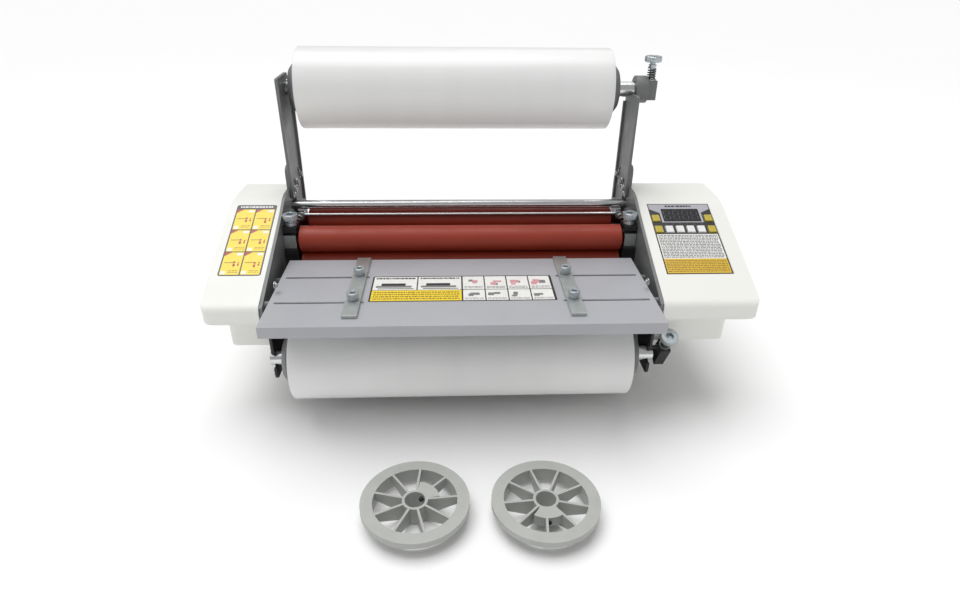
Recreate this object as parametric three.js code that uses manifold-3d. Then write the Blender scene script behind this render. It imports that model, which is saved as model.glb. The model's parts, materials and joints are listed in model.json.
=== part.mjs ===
// A four-roller desktop film laminator with two film mandrels, a feed table and two loose core adapters.
// Millimetres. X runs from left to right, Y from the feed table to the exit, Z up from the floor.
import * as THREE from "three";
import { mergeVertices } from "three/addons/utils/BufferGeometryUtils.js";
import Module from "manifold-3d";

const wasm = await Module();
wasm.setup();

// ---- Driving dimensions ----

// Clearances
const GAP = 0.3; // between pieces that touch, and round a shaft in its hole
const KEY_GAP = 0.4; // round a key in its hole

// Laminating rollers: two pairs, one behind the other
const ROLLER_FACE = 350; // length of the silicone sleeve, which sets the widest film
const ROLLER_PITCH = 28.6; // height between the two axes of a pair
const NIP_GAP = 0.3;
const NIP_HEIGHT = 138.1;
const PAIR_SPACING = 55;
const SHAFT_RADIUS = 6;
const BEARING_SPACE = 17; // from the end of the sleeve to the side plate
const CARRIAGE_LIFT = 3;

// Frame
const PLATE_WALL = 3;
const PLATE_RISE = 6; // how far a side plate stands above its casing's flat top
const PLATE_EAR_TOP = 218;
const PLATE_ROUNDING = 8;
const SHEET_WALL = 1.5; // chassis pan and feed table
const FOOT_HEIGHT = 12;
const FOOT_RADIUS = 10;
const FOOT_INSET = 27; // from a side plate to the middle of its feet
const FOOT_FROM_FRONT = 16;
const FOOT_FROM_REAR = 18;
const EXIT_SHELF_DROP = 4; // from the nip down to the shelf under the exit
const EXIT_SHELF_GAP = 5; // from the rear rollers to the shelf
const PAN_FRONT_TOP = 40;
const FRAME_REAR = 118;
const FRAME_ROLL_GAP = 4.5; // between the lower film roll and the frame behind it

// Casings at both sides
const CASING_WALL = 2.5;
const LEFT_CASING_WIDTH = 55.2;
const RIGHT_CASING_WIDTH = 96.2;
const LIP_FRONT = -117;
const LIP_BOTTOM = 114.5;
const LIP_TOP = 130.5;
const SLOPE_TOP_Y = 24;
const CASING_TOP = 187.5;
const CASING_BACK = 88;
const CASING_REAR = 128;
const REAR_TOP = 150;
const CASING_ROUNDING = 9;
// Side view, from its rear foot over the top to the lip
const PROFILE_ROUNDINGS = [0, 8, 12, 16, 7, 0];
const SHELL_INSET = 19; // the lower shell stands this far behind the lip
const LEFT_SHELL_INSET = 16.1; // and this far in from the left casing's side
const RIGHT_SHELL_INSET = 21.5; // and this far in from the right casing's side
const SHELL_BOTTOM = 78.5;
const SHELL_ROUNDING = 8;
const SHELL_REAR_GAP = 4; // from the lower shell to the inside of the casing's rear wall

// Film rolls and their mandrels
const MANDREL_RADIUS = 8;
const FILM_LENGTH = 335;
const CORE_BORE_RADIUS = 12.7; // inside of a one-inch cardboard core
const UPPER_MANDREL = [78.6, 296.6];
const LOWER_MANDREL = [-102.1, 66.4];
const UPPER_FILM_RADIUS = 42.5;
const LOWER_FILM_RADIUS = 41.9;
const UPPER_FILM_SHIFT = -5.3;
const LOWER_FILM_SHIFT = -1.9;
const PLUG_RADIUS = 27;
const PLUG_LIP = 5;
const PLUG_TAPER = 5;
const PLUG_NOSE_RADIUS = 21;
const PLUG_SPIGOT = 22;

// Film arms and lower brackets
const ARM_WALL = 3;
const ARM_DEPTH = 48;
const ARM_FRONT_MARGIN = 32.6; // from the arm's front edge back to the mandrel's axis
const ARM_FLANGE = 5.5; // width of the flange along the arm's rear edge, bent towards the middle
const ARM_FOOT = 160;
const ARM_SEAT_WALL = 4; // left of the arm under the mandrel's seat, at its rear edge
const ARM_HOOK_WALL = 7; // left of the left arm over the mandrel
const ARM_SLOT_RADII = [36, 17];
const ARM_SLOT_SPANS = [[8, 42], [20, 70]]; // degrees from the rear, rising
const ARM_SLOT_HALF_WIDTH = 2.2;
const BRACKET_WALL = 3;
const BRACKET_BELOW = 21; // from the mandrel's axis to the bracket's lower edge
const BRACKET_TABLE_GAP = 10;
const BRACKET_FRONT_MARGIN = 9; // from the bracket's front edge back to the mandrel's axis

// Feed table and guides
const TABLE_SIDE_GAP = 8.2;
const TABLE_ROLLER_GAP = 10.2;
const TABLE_DEPTH = 139.1;
const TABLE_LIP = 11.4;
const TABLE_REAR_LIP = 8;
const TABLE_STUD_RADIUS = 3;
const STUDS_FROM_BACK = [30, 80];
const STUD_DROP = 9; // from the table's top to the studs
const GUIDE_INNER = 97.5; // each guide's inner edge, from the middle
const GUIDE_WIDTH = 14;
const GUIDE_LENGTH = 123.7;
const GUIDE_THICKNESS = 3;
const GUIDE_BACK_MARGIN = 1.5;
const GUIDE_SCREW_RADIUS = 1.4;
const GUIDE_KNOB_RADIUS = 5.6;
const SLOT_FROM_BACK = [41.5, 94.3];
const SLOT_INNER = 95; // from the middle to a slot's inner end
const SLOT_END_MARGIN = 5.1; // from a slot's outer end to the table's side

// Control panel on the right casing's slope
const PANEL_WIDTH = 69;
const PANEL_HEIGHT = 105;
const PANEL_FROM_BEND = 7;
const PANEL_RECESS = 0.6;
const KEY_WIDTH = 8.2;
const KEY_HEIGHT = 9.5;
const KEY_PITCH = 11.6;
const KEY_ROW_1 = 23.5; // from the panel's top edge to the middle of the upper two keys
const KEY_ROW_2 = 40.5; // and to the middle of the row of six
const KEY_STAND = 0.9; // height of a key above the casing

// Thin bars across the machine
const IDLER_RADIUS = 5;
const IDLER_JOURNAL = 3;
const IDLER_PLACE = [50, 173.5];
const PEEL_BAR_RADIUS = 1.8;
const PEEL_BAR_PLACE = [42, 164.4];

// Gears and belt pulleys on the roller shafts
const GEAR_TEETH = 22;
const TOOTH_TIP = 1; // above the pitch circle
const TOOTH_ROOT = 1.3; // below it
const TOOTH_FOOT = 0.21; // half a tooth's width at its foot, as a share of the tooth spacing
const TOOTH_CREST = 0.09; // and at its crest
const GEAR_WIDTH = 7;
const GEAR_PLATE_GAP = 4;
const PULLEY_RADIUS = 12;
const BELT_WALL = 1.5;

// Loose adapters that hold three-inch cores on a mandrel
const ADAPTER_FLANGE_RADIUS = 47;
const ADAPTER_FLANGE_WALL = 5.8;
const ADAPTER_CORE_RADIUS = 38;
const ADAPTER_HEIGHT = 18;
const ADAPTER_SLEEVE_WALL = 1.6;
const ADAPTER_SLEEVE_DEPTH = 14;
const ADAPTER_RIB_END = 8; // height of a rib where it meets the sleeve
const ADAPTER_LUG_RADIUS = 21.5;
const ADAPTER_LUG_HEIGHT = 10;
const ADAPTER_LUG_HALF_DEGREES = 35;
const ADAPTER_HUB_WALL = 2.3;
const ADAPTER_BORE_GAP = 0.9;
const ADAPTER_RIBS = 9;
const ADAPTER_RIB_WALL = 2;
const ADAPTER_PLACES = [
  { name: "core_adapter_left", at: [-45, -251.9], lug: 45, firstRib: 5 },
  { name: "core_adapter_right", at: [67.5, -254.5], lug: 270, firstRib: 25 },
];

// Facets on round pieces
const LARGE_SIDES = 48;
const ROUND_SIDES = 32;
const SMALL_SIDES = 20;

// ---- Sizes that follow from them ----

const ROLLER_RADIUS = (ROLLER_PITCH - NIP_GAP) / 2;
const LOWER_AXIS = NIP_HEIGHT - ROLLER_PITCH / 2;
const UPPER_AXIS = NIP_HEIGHT + ROLLER_PITCH / 2;
const FRONT_LOWER = [0, LOWER_AXIS];
const FRONT_UPPER = [0, UPPER_AXIS];
const REAR_LOWER = [PAIR_SPACING, LOWER_AXIS];
const REAR_UPPER = [PAIR_SPACING, UPPER_AXIS];
const SHAFT_HOLE = SHAFT_RADIUS + GAP;
const ROLLER_END = ROLLER_FACE / 2;
const PLATE_INNER = ROLLER_END + BEARING_SPACE;
const PLATE_OUTER = PLATE_INNER + PLATE_WALL;
const INSIDE_PLATE = PLATE_INNER - GAP; // outermost X of a piece that stands against a plate's inner face
const CASING_INNER = PLATE_OUTER + GAP;
const SLOPE_ANGLE = Math.atan2(CASING_TOP - LIP_TOP, SLOPE_TOP_Y - LIP_FRONT);
const SHELL_TOP = LIP_BOTTOM - GAP;
const PAN_BOTTOM = FOOT_HEIGHT + GAP;
const FRAME_FRONT = LOWER_MANDREL[0] + LOWER_FILM_RADIUS + FRAME_ROLL_GAP;
const PLATE_LOW_EDGE = SHELL_BOTTOM + CASING_WALL;
const ARM_FRONT = UPPER_MANDREL[0] - ARM_FRONT_MARGIN;
const ARM_BACK = ARM_FRONT + ARM_DEPTH;
const TABLE_TOP = NIP_HEIGHT;
const TABLE_BACK = -ROLLER_RADIUS - TABLE_ROLLER_GAP;
const TABLE_FRONT = TABLE_BACK - TABLE_DEPTH;
const TABLE_HALF = PLATE_INNER - TABLE_SIDE_GAP;
const TABLE_STUDS_Y = STUDS_FROM_BACK.map((fromBack) => TABLE_BACK - fromBack);
const TABLE_STUD_HEIGHT = TABLE_TOP - STUD_DROP;
const GUIDE_SCREW_X = GUIDE_INNER + GUIDE_WIDTH / 2;
const GEAR_NEAR = PLATE_OUTER + GEAR_PLATE_GAP;
const GEAR_FAR = GEAR_NEAR + GEAR_WIDTH;
const SIDES = [
  { side: "left", sign: -1, casingWidth: LEFT_CASING_WIDTH, shellInset: LEFT_SHELL_INSET },
  { side: "right", sign: 1, casingWidth: RIGHT_CASING_WIDTH, shellInset: RIGHT_SHELL_INSET },
];

// ---- Shape helpers ----

const PAST = 1; // how far a cutting tool runs past the face that it opens
const MERGE_DISTANCE = 1e-4;
const X_AXIS = new THREE.Vector3(1, 0, 0);
const Y_AXIS = new THREE.Vector3(0, 1, 0);
const Z_AXIS = new THREE.Vector3(0, 0, 1);

// Height of the casings' sloping face above a place on Y.
function slopeHeight(y) {
  return CASING_TOP - (SLOPE_TOP_Y - y) * Math.tan(SLOPE_ANGLE);
}

// A span of X on one side of the machine, from the nearer distance to the farther one.
function spanX(sign, near, far) {
  return sign > 0 ? [near, far] : [-far, -near];
}

function box([x0, x1], [y0, y1], [z0, z1]) {
  const geometry = new THREE.BoxGeometry(x1 - x0, y1 - y0, z1 - z0);
  return geometry.translate((x0 + x1) / 2, (y0 + y1) / 2, (z0 + z1) / 2);
}

function rodX([x0, x1], [y, z], radius, sides = SMALL_SIDES) {
  const geometry = new THREE.CylinderGeometry(radius, radius, x1 - x0, sides);
  return geometry.rotateZ(Math.PI / 2).translate((x0 + x1) / 2, y, z);
}

function rodY([y0, y1], [x, z], radius, sides = SMALL_SIDES) {
  return new THREE.CylinderGeometry(radius, radius, y1 - y0, sides).translate(x, (y0 + y1) / 2, z);
}

function rodZ([z0, z1], [x, y], radius, sides = SMALL_SIDES) {
  const geometry = new THREE.CylinderGeometry(radius, radius, z1 - z0, sides);
  return geometry.rotateX(Math.PI / 2).translate(x, y, (z0 + z1) / 2);
}

// A closed outline through [a, b] corners. A third number rounds a corner, starting that far from it.
function outline(corners) {
  const shape = new THREE.Shape();
  const count = corners.length;
  corners.forEach(([a, b, rounding = 0], i) => {
    const corner = new THREE.Vector2(a, b);
    const reach = (j) => {
      const [c, d] = corners[(i + j + count) % count];
      return new THREE.Vector2(c, d).sub(corner).setLength(rounding).add(corner);
    };
    const start = reach(-1);
    const end = reach(1);
    if (i) shape.lineTo(start.x, start.y);
    else shape.moveTo(start.x, start.y);
    if (rounding) shape.quadraticCurveTo(a, b, end.x, end.y);
  });
  return shape;
}

function extrude(shape, depth, curveSegments = 4) {
  return new THREE.ExtrudeGeometry(shape, { depth, bevelEnabled: false, curveSegments });
}

// A prism along X of an outline given in [y, z].
function prismX(corners, [x0, x1]) {
  const turn = new THREE.Matrix4().makeBasis(Y_AXIS, Z_AXIS, X_AXIS);
  return extrude(outline(corners), x1 - x0).applyMatrix4(turn).translate(x0, 0, 0);
}

// A prism along Y of an outline given in [x, z].
function prismY(corners, [y0, y1]) {
  const turn = new THREE.Matrix4().makeBasis(X_AXIS, Z_AXIS, Y_AXIS.clone().negate());
  return extrude(outline(corners), y1 - y0).applyMatrix4(turn).translate(0, y1, 0);
}

// A prism along Z of an outline given in [x, y].
function prismZ(corners, [z0, z1]) {
  return extrude(outline(corners), z1 - z0).translate(0, 0, z0);
}

// A piece turned about the X axis. The profile holds [x, radius], and either begins and ends on the
// axis or closes on itself, running so that the solid lies on its right.
function turnedX(profile, [y, z], sides = ROUND_SIDES) {
  const points = profile.map(([x, radius]) => new THREE.Vector2(radius, x));
  const onAxis = profile[0][1] === 0;
  const closed = onAxis ? points : [...points, points[0]];
  return new THREE.LatheGeometry(closed, sides).rotateZ(-Math.PI / 2).translate(0, y, z);
}

// A piece turned about the Z axis through [x, y]. The profile holds [z, radius], from the axis to the axis.
function turnedZ(profile, [x, y], sides = SMALL_SIDES) {
  const points = profile.map(([z, radius]) => new THREE.Vector2(radius, z));
  return new THREE.LatheGeometry(points, sides).rotateX(Math.PI / 2).translate(x, y, 0);
}

// Where two lines cross, each given by a point and a direction.
function crossing(p, u, q, v) {
  const t = ((q.x - p.x) * v.y - (q.y - p.y) * v.x) / (u.x * v.y - u.y * v.x);
  return p.clone().addScaledVector(u, t);
}

// The corners of a path moved sideways to its left; a closed path joins its last corner to its first.
function offsetPath(corners, distance, closed) {
  const points = corners.map(([a, b]) => new THREE.Vector2(a, b));
  const count = points.length;
  const edge = (i) => {
    const from = points[(i + count) % count];
    const along = points[(i + 1 + count) % count].clone().sub(from).normalize();
    const left = new THREE.Vector2(-along.y, along.x);
    return { from: from.clone().addScaledVector(left, distance), along };
  };
  return points.map((point, i) => {
    const first = !closed && i === 0;
    const last = !closed && i === count - 1;
    const before = edge(first ? i : i - 1);
    const after = edge(last ? i - 1 : i);
    if (first) return [after.from.x, after.from.y];
    if (last) {
      const end = before.from.clone().addScaledVector(before.along, point.distanceTo(points[i - 1]));
      return [end.x, end.y];
    }
    const met = crossing(before.from, before.along, after.from, after.along);
    return [met.x, met.y];
  });
}

// The cross-section of a bent sheet: the path is one face, and the wall lies on its left.
function bentSheet(path, wall) {
  return [...path, ...offsetPath(path, wall, false).reverse()];
}

function toSolid(geometry) {
  const bare = new THREE.BufferGeometry();
  bare.setAttribute("position", geometry.getAttribute("position"));
  bare.setIndex(geometry.index);
  const merged = mergeVertices(bare, MERGE_DISTANCE);
  const triVerts = new Uint32Array(merged.index.array);
  const vertProperties = new Float32Array(merged.getAttribute("position").array);
  return new wasm.Manifold(new wasm.Mesh({ numProp: 3, vertProperties, triVerts }));
}

function toGeometry(solid) {
  const { vertProperties, triVerts } = solid.getMesh();
  const geometry = new THREE.BufferGeometry();
  geometry.setAttribute("position", new THREE.BufferAttribute(vertProperties, 3));
  geometry.setIndex(new THREE.BufferAttribute(triVerts, 1));
  geometry.computeVertexNormals();
  return geometry;
}

function join(...pieces) {
  return toGeometry(pieces.map(toSolid).reduce((whole, piece) => whole.add(piece)));
}

function cut(body, ...tools) {
  return toGeometry(tools.map(toSolid).reduce((rest, tool) => rest.subtract(tool), toSolid(body)));
}

function common(a, b) {
  return toGeometry(toSolid(a).intersect(toSolid(b)));
}

// ---- Frame ----

// The plate follows its casing's slope, then rises behind the film arm that is bolted to it.
function sidePlate(sign) {
  const face = spanX(sign, PLATE_INNER, PLATE_OUTER);
  const through = spanX(sign, PLATE_INNER - PAST, PLATE_OUTER + PAST);
  const crest = CASING_TOP + PLATE_RISE;
  const plate = prismX(
    [
      [LIP_FRONT + CASING_WALL, LIP_BOTTOM],
      [LIP_FRONT + CASING_WALL, LIP_TOP - GAP],
      [0, slopeHeight(0) + PLATE_RISE / 2],
      [SLOPE_TOP_Y, crest, PLATE_ROUNDING],
      [ARM_FRONT, crest],
      [ARM_FRONT, PLATE_EAR_TOP, PLATE_ROUNDING],
      [ARM_BACK, PLATE_EAR_TOP, PLATE_ROUNDING],
      [FRAME_REAR, CASING_TOP, PLATE_ROUNDING],
      [FRAME_REAR, PAN_BOTTOM],
      [FRAME_FRONT, PAN_BOTTOM],
      [FRAME_FRONT, PLATE_LOW_EDGE],
      [LIP_FRONT + SHELL_INSET + CASING_WALL, PLATE_LOW_EDGE],
    ],
    face,
  );
  const carriageSlot = box(
    through,
    [-SHAFT_HOLE, SHAFT_HOLE],
    [UPPER_AXIS - SHAFT_HOLE, UPPER_AXIS + SHAFT_HOLE + CARRIAGE_LIFT],
  );
  const shaftHoles = [FRONT_LOWER, REAR_LOWER, REAR_UPPER].map((at) => rodX(through, at, SHAFT_HOLE));
  const idlerHole = rodX(through, IDLER_PLACE, IDLER_JOURNAL + GAP);
  const bored = cut(plate, carriageSlot, idlerHole, ...shaftHoles);
  const stud = spanX(sign, TABLE_HALF - SHEET_WALL - GAP, PLATE_INNER + PAST);
  return join(bored, ...TABLE_STUDS_Y.map((y) => rodX(stud, [y, TABLE_STUD_HEIGHT], TABLE_STUD_RADIUS)));
}

// One folded sheet: the front wall, the floor, the rear wall and the shelf under the exit.
function chassisPan() {
  const rear = FRAME_REAR;
  const shelf = NIP_HEIGHT - EXIT_SHELF_DROP;
  const shelfFront = PAIR_SPACING + ROLLER_RADIUS + EXIT_SHELF_GAP;
  const path = [
    [shelfFront, shelf],
    [rear, shelf],
    [rear, PAN_BOTTOM],
    [FRAME_FRONT, PAN_BOTTOM],
    [FRAME_FRONT, PAN_FRONT_TOP],
  ];
  return prismX(bentSheet(path, -SHEET_WALL), [-INSIDE_PLATE, INSIDE_PLATE]);
}

function foot(sign, y) {
  const x = sign * (PLATE_INNER - FOOT_INSET);
  const taper = 2;
  return turnedZ(
    [[0, 0], [0, FOOT_RADIUS - taper], [taper, FOOT_RADIUS], [FOOT_HEIGHT, FOOT_RADIUS], [FOOT_HEIGHT, 0]],
    [x, y],
  );
}

// ---- Casings ----

// The casing's side view. The cavity's outline stands one wall inside it and runs out at the bottom.
function casingProfile(inset) {
  const corners = [
    [CASING_REAR, LIP_BOTTOM],
    [CASING_REAR, REAR_TOP],
    [CASING_BACK, CASING_TOP],
    [SLOPE_TOP_Y, CASING_TOP],
    [LIP_FRONT, LIP_TOP],
    [LIP_FRONT, LIP_BOTTOM],
  ];
  const moved = offsetPath(corners, inset, true);
  const bottom = inset ? LIP_BOTTOM - PAST : LIP_BOTTOM;
  const last = corners.length - 1;
  return moved.map(([y, z], i) => {
    const onFloor = i === 0 || i === last;
    return [y, onFloor ? bottom : z, Math.max(PROFILE_ROUNDINGS[i] - inset, 0)];
  });
}

// A plan view, square at the side plate and rounded at its two outer corners.
function casingPlan(sign, near, far, front, rear, rounding) {
  return [
    [sign * near, front],
    [sign * far, front, rounding],
    [sign * far, rear, rounding],
    [sign * near, rear],
  ];
}

function casing(sign, width) {
  const far = CASING_INNER + width;
  const height = [LIP_BOTTOM - 2 * PAST, CASING_TOP + PAST];
  const plan = casingPlan(sign, CASING_INNER, far, LIP_FRONT, CASING_REAR, CASING_ROUNDING);
  const hollowPlan = casingPlan(
    sign,
    CASING_INNER - PAST,
    far - CASING_WALL,
    LIP_FRONT + CASING_WALL,
    CASING_REAR - CASING_WALL,
    CASING_ROUNDING - CASING_WALL,
  );
  const across = spanX(sign, CASING_INNER - PAST, far + PAST);
  const block = common(prismX(casingProfile(0), across), prismZ(plan, height));
  const hollow = common(prismX(casingProfile(CASING_WALL), across), prismZ(hollowPlan, height));
  return cut(block, hollow);
}

// The tray under a casing, with a rim that closes the casing's underside.
function lowerShell(sign, width, sideInset) {
  const far = CASING_INNER + width - sideInset;
  const front = LIP_FRONT + SHELL_INSET;
  const rear = CASING_REAR - CASING_WALL - SHELL_REAR_GAP;
  const rimInset = 1;
  const rimWall = 1.5;
  const plan = casingPlan(sign, CASING_INNER, far, front, rear, SHELL_ROUNDING);
  const body = prismZ(plan, [SHELL_BOTTOM, SHELL_TOP]);
  const rim = prismZ(
    casingPlan(
      sign,
      CASING_INNER,
      CASING_INNER + width - rimInset,
      LIP_FRONT + rimInset,
      CASING_REAR - rimInset,
      CASING_ROUNDING,
    ),
    [SHELL_TOP - rimWall, SHELL_TOP],
  );
  const hollow = prismZ(
    casingPlan(
      sign,
      CASING_INNER - PAST,
      far - CASING_WALL,
      front + CASING_WALL,
      rear - CASING_WALL,
      SHELL_ROUNDING - CASING_WALL,
    ),
    [SHELL_BOTTOM + CASING_WALL, SHELL_TOP + PAST],
  );
  return cut(join(body, rim), hollow);
}

// ---- Control panel: a frame whose X runs across, Y up the slope and Z out of the casing ----

const PANEL_SHIFT = 2.7; // from the middle of the casing towards the rollers
const PANEL_MIDDLE_X = CASING_INNER + RIGHT_CASING_WIDTH / 2 - PANEL_SHIFT;

function panelMatrix() {
  const turn = new THREE.Matrix4().makeRotationX(SLOPE_ANGLE);
  return turn.setPosition(PANEL_MIDDLE_X, SLOPE_TOP_Y, CASING_TOP);
}

// The two upper keys stand over the ends of a row of six.
function keyPlaces() {
  const rowOfSix = [0, 1, 2, 3, 4, 5].map((i) => ({
    name: `key_row_${i + 1}`,
    at: [(i - 2.5) * KEY_PITCH, -PANEL_FROM_BEND - KEY_ROW_2],
  }));
  const upperY = -PANEL_FROM_BEND - KEY_ROW_1;
  return [
    { name: "key_upper_left", at: [-2.5 * KEY_PITCH, upperY] },
    { name: "key_upper_right", at: [2.5 * KEY_PITCH, upperY] },
    ...rowOfSix,
  ];
}

const KEY_DEPTH = CASING_WALL + 1; // how far a key reaches under the casing's surface

function panelCutouts() {
  const half = PANEL_WIDTH / 2 + GAP;
  const recess = box(
    [-half, half],
    [-PANEL_FROM_BEND - PANEL_HEIGHT - GAP, -PANEL_FROM_BEND + GAP],
    [-PANEL_RECESS, PAST],
  );
  const holes = keyPlaces().map(({ at: [x, y] }) => {
    const w = KEY_WIDTH / 2 + KEY_GAP;
    const h = KEY_HEIGHT / 2 + KEY_GAP;
    return box([x - w, x + w], [y - h, y + h], [-2 * KEY_DEPTH, PAST]);
  });
  return [recess, ...holes].map((tool) => tool.applyMatrix4(panelMatrix()));
}

function key() {
  const w = KEY_WIDTH / 2;
  const h = KEY_HEIGHT / 2;
  const chamfer = 0.5;
  const cap = [[-w, -KEY_DEPTH], [w, -KEY_DEPTH], [w, KEY_STAND - chamfer], [w - chamfer, KEY_STAND],
    [chamfer - w, KEY_STAND], [-w, KEY_STAND - chamfer]];
  return prismY(cap, [-h, h]);
}

// ---- Power inlet with its switch, in the right casing's rear wall ----

const INLET_MIDDLE = [PANEL_MIDDLE_X + 12, 132];
const INLET_FLANGE_WALL = 2;
const INLET_HALF = [27, 13];
const INLET_BODY_HALF = [25, 11];
const INLET_BODY_DEPTH = 20;
const SOCKET_HALF = [12, 8];
const SOCKET_X = -10;
const SOCKET_DEPTH = 14;
const PIN_HALF = [1, 2];
const PIN_LENGTH = 12;
const PIN_PLACES = [[-7, -1.5], [0, 1.5], [7, -1.5]]; // from the middle of the socket
const ROCKER_HALF = [7.5, 8.5];
const ROCKER_X = 15;
const ROCKER_TILT = THREE.MathUtils.degToRad(8);
const ROCKER_SUNK = 4;
const ROCKER_PIVOT_Y = CASING_REAR - ROCKER_SUNK;

function centredBox([x, z], [halfX, halfZ], depth) {
  return box([x - halfX, x + halfX], depth, [z - halfZ, z + halfZ]);
}

function inletCutout() {
  const half = INLET_BODY_HALF.map((size) => size + GAP);
  return centredBox(INLET_MIDDLE, half, [CASING_REAR - CASING_WALL - PAST, CASING_REAR + PAST]);
}

function powerInlet() {
  const [x, z] = INLET_MIDDLE;
  const outside = CASING_REAR + GAP;
  const face = outside + INLET_FLANGE_WALL;
  const flange = centredBox(INLET_MIDDLE, INLET_HALF, [outside, face]);
  const body = centredBox(INLET_MIDDLE, INLET_BODY_HALF, [CASING_REAR - INLET_BODY_DEPTH, outside + PAST]);
  const floor = CASING_REAR - SOCKET_DEPTH;
  const socket = centredBox([x + SOCKET_X, z], SOCKET_HALF, [floor, face + PAST]);
  const well = ROCKER_HALF.map((size) => size + GAP);
  const rockerWell = centredBox([x + ROCKER_X, z], well, [floor, face + PAST]);
  const pins = PIN_PLACES.map(([dx, dz]) =>
    centredBox([x + SOCKET_X + dx, z + dz], PIN_HALF, [floor - PAST, floor - PAST + PIN_LENGTH]),
  );
  return join(cut(join(flange, body), socket, rockerWell), ...pins);
}

function rocker() {
  const [halfX, halfZ] = ROCKER_HALF;
  const face = 5;
  const dip = 0.9; // how far the middle of the face lies below its ends
  const tail = [6, 3];
  const back = [[-tail[0], tail[1]], [-tail[0], -tail[1]]];
  const shape = [...back, [face, 1 - halfZ], [face - dip, 0], [face, halfZ - 1]];
  return prismX(shape, [-halfX, halfX]);
}

// ---- Rollers ----

function gearOutline(phase) {
  const pitchRadius = ROLLER_PITCH / 2;
  const tip = pitchRadius + TOOTH_TIP;
  const root = pitchRadius - TOOTH_ROOT;
  const step = (2 * Math.PI) / GEAR_TEETH;
  const polar = (radius, angle) => [radius * Math.cos(angle), radius * Math.sin(angle)];
  const tooth = (i) => {
    const middle = (i + phase) * step;
    return [
      polar(root, middle - TOOTH_FOOT * step),
      polar(tip, middle - TOOTH_CREST * step),
      polar(tip, middle + TOOTH_CREST * step),
      polar(root, middle + TOOTH_FOOT * step),
    ];
  };
  return Array.from({ length: GEAR_TEETH }, (_, i) => tooth(i)).flat();
}

function gear([y, z], phase) {
  return prismX(gearOutline(phase), [-GEAR_FAR, -GEAR_NEAR]).translate(0, y, z);
}

function rollerSleeve(at, leftEnd, rightEnd) {
  const chamfer = 0.8;
  const profile = [
    [leftEnd, 0],
    [leftEnd, SHAFT_RADIUS],
    [-ROLLER_END, SHAFT_RADIUS],
    [-ROLLER_END, ROLLER_RADIUS - chamfer],
    [chamfer - ROLLER_END, ROLLER_RADIUS],
    [ROLLER_END - chamfer, ROLLER_RADIUS],
    [ROLLER_END, ROLLER_RADIUS - chamfer],
    [ROLLER_END, SHAFT_RADIUS],
    [rightEnd, SHAFT_RADIUS],
    [rightEnd, 0],
  ];
  return turnedX(profile, at);
}

const PAIR_GEAR_PHASE = 0.5; // the upper gear of a pair sits half a tooth on, so that the two mesh
const SHAFT_END = 1;

function upperRoller(at) {
  return join(rollerSleeve(at, -GEAR_FAR - SHAFT_END, INSIDE_PLATE - SHAFT_END), gear(at, PAIR_GEAR_PHASE));
}

function lowerRoller(at, rightEnd) {
  const pulley = rodX([GEAR_NEAR, GEAR_FAR], at, PULLEY_RADIUS, ROUND_SIDES);
  return join(rollerSleeve(at, -GEAR_FAR - SHAFT_END, rightEnd), gear(at, 0), pulley);
}

// A stadium round the two lower shafts.
function beltLoop(radius, span) {
  const loop = new THREE.Shape();
  loop.absarc(FRONT_LOWER[0], LOWER_AXIS, radius, Math.PI / 2, 1.5 * Math.PI);
  loop.absarc(REAR_LOWER[0], LOWER_AXIS, radius, -Math.PI / 2, Math.PI / 2);
  const turn = new THREE.Matrix4().makeBasis(Y_AXIS, Z_AXIS, X_AXIS);
  return extrude(loop, span[1] - span[0], ROUND_SIDES / 2).applyMatrix4(turn).translate(span[0], 0, 0);
}

function driveBelt() {
  const inner = PULLEY_RADIUS + GAP;
  const margin = 0.5;
  return cut(
    beltLoop(inner + BELT_WALL, [GEAR_NEAR + margin, GEAR_FAR - margin]),
    beltLoop(inner, [GEAR_NEAR - PAST, GEAR_FAR + PAST]),
  );
}

const MOTOR_NEAR = GEAR_FAR + 3;
const MOTOR_GEARBOX = 16;
const GEARBOX_HALF = [19, 22.5];
const MOTOR_CAN_RADIUS = 16;
const MOTOR_CAN_LENGTH = 34;
const MOTOR_POST_RADIUS = 2;
const MOTOR_POSTS = [16.5, 19.5]; // from the shaft, along Y and Z
const MOTOR_SOCKET = 7;
const FRONT_LOWER_END = MOTOR_NEAR + MOTOR_SOCKET - GAP;

function driveMotor() {
  const [y, z] = FRONT_LOWER;
  const [halfY, halfZ] = GEARBOX_HALF;
  const [postY, postZ] = MOTOR_POSTS;
  const gearboxFar = MOTOR_NEAR + MOTOR_GEARBOX;
  const gearbox = box([MOTOR_NEAR, gearboxFar], [y - halfY, y + halfY], [z - halfZ, z + halfZ]);
  const corners = [[-postY, -postZ], [postY, -postZ], [-postY, postZ], [postY, postZ]];
  const posts = corners.map(([dy, dz]) =>
    rodX([PLATE_OUTER + GAP, MOTOR_NEAR + PAST], [y + dy, z + dz], MOTOR_POST_RADIUS, 12),
  );
  const can = rodX([gearboxFar - PAST, gearboxFar + MOTOR_CAN_LENGTH], [y, z], MOTOR_CAN_RADIUS, ROUND_SIDES);
  const socket = rodX([MOTOR_NEAR - PAST, MOTOR_NEAR + MOTOR_SOCKET], FRONT_LOWER, SHAFT_HOLE);
  return cut(join(gearbox, can, ...posts), socket);
}

// ---- Pressure units on the front pair ----

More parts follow.
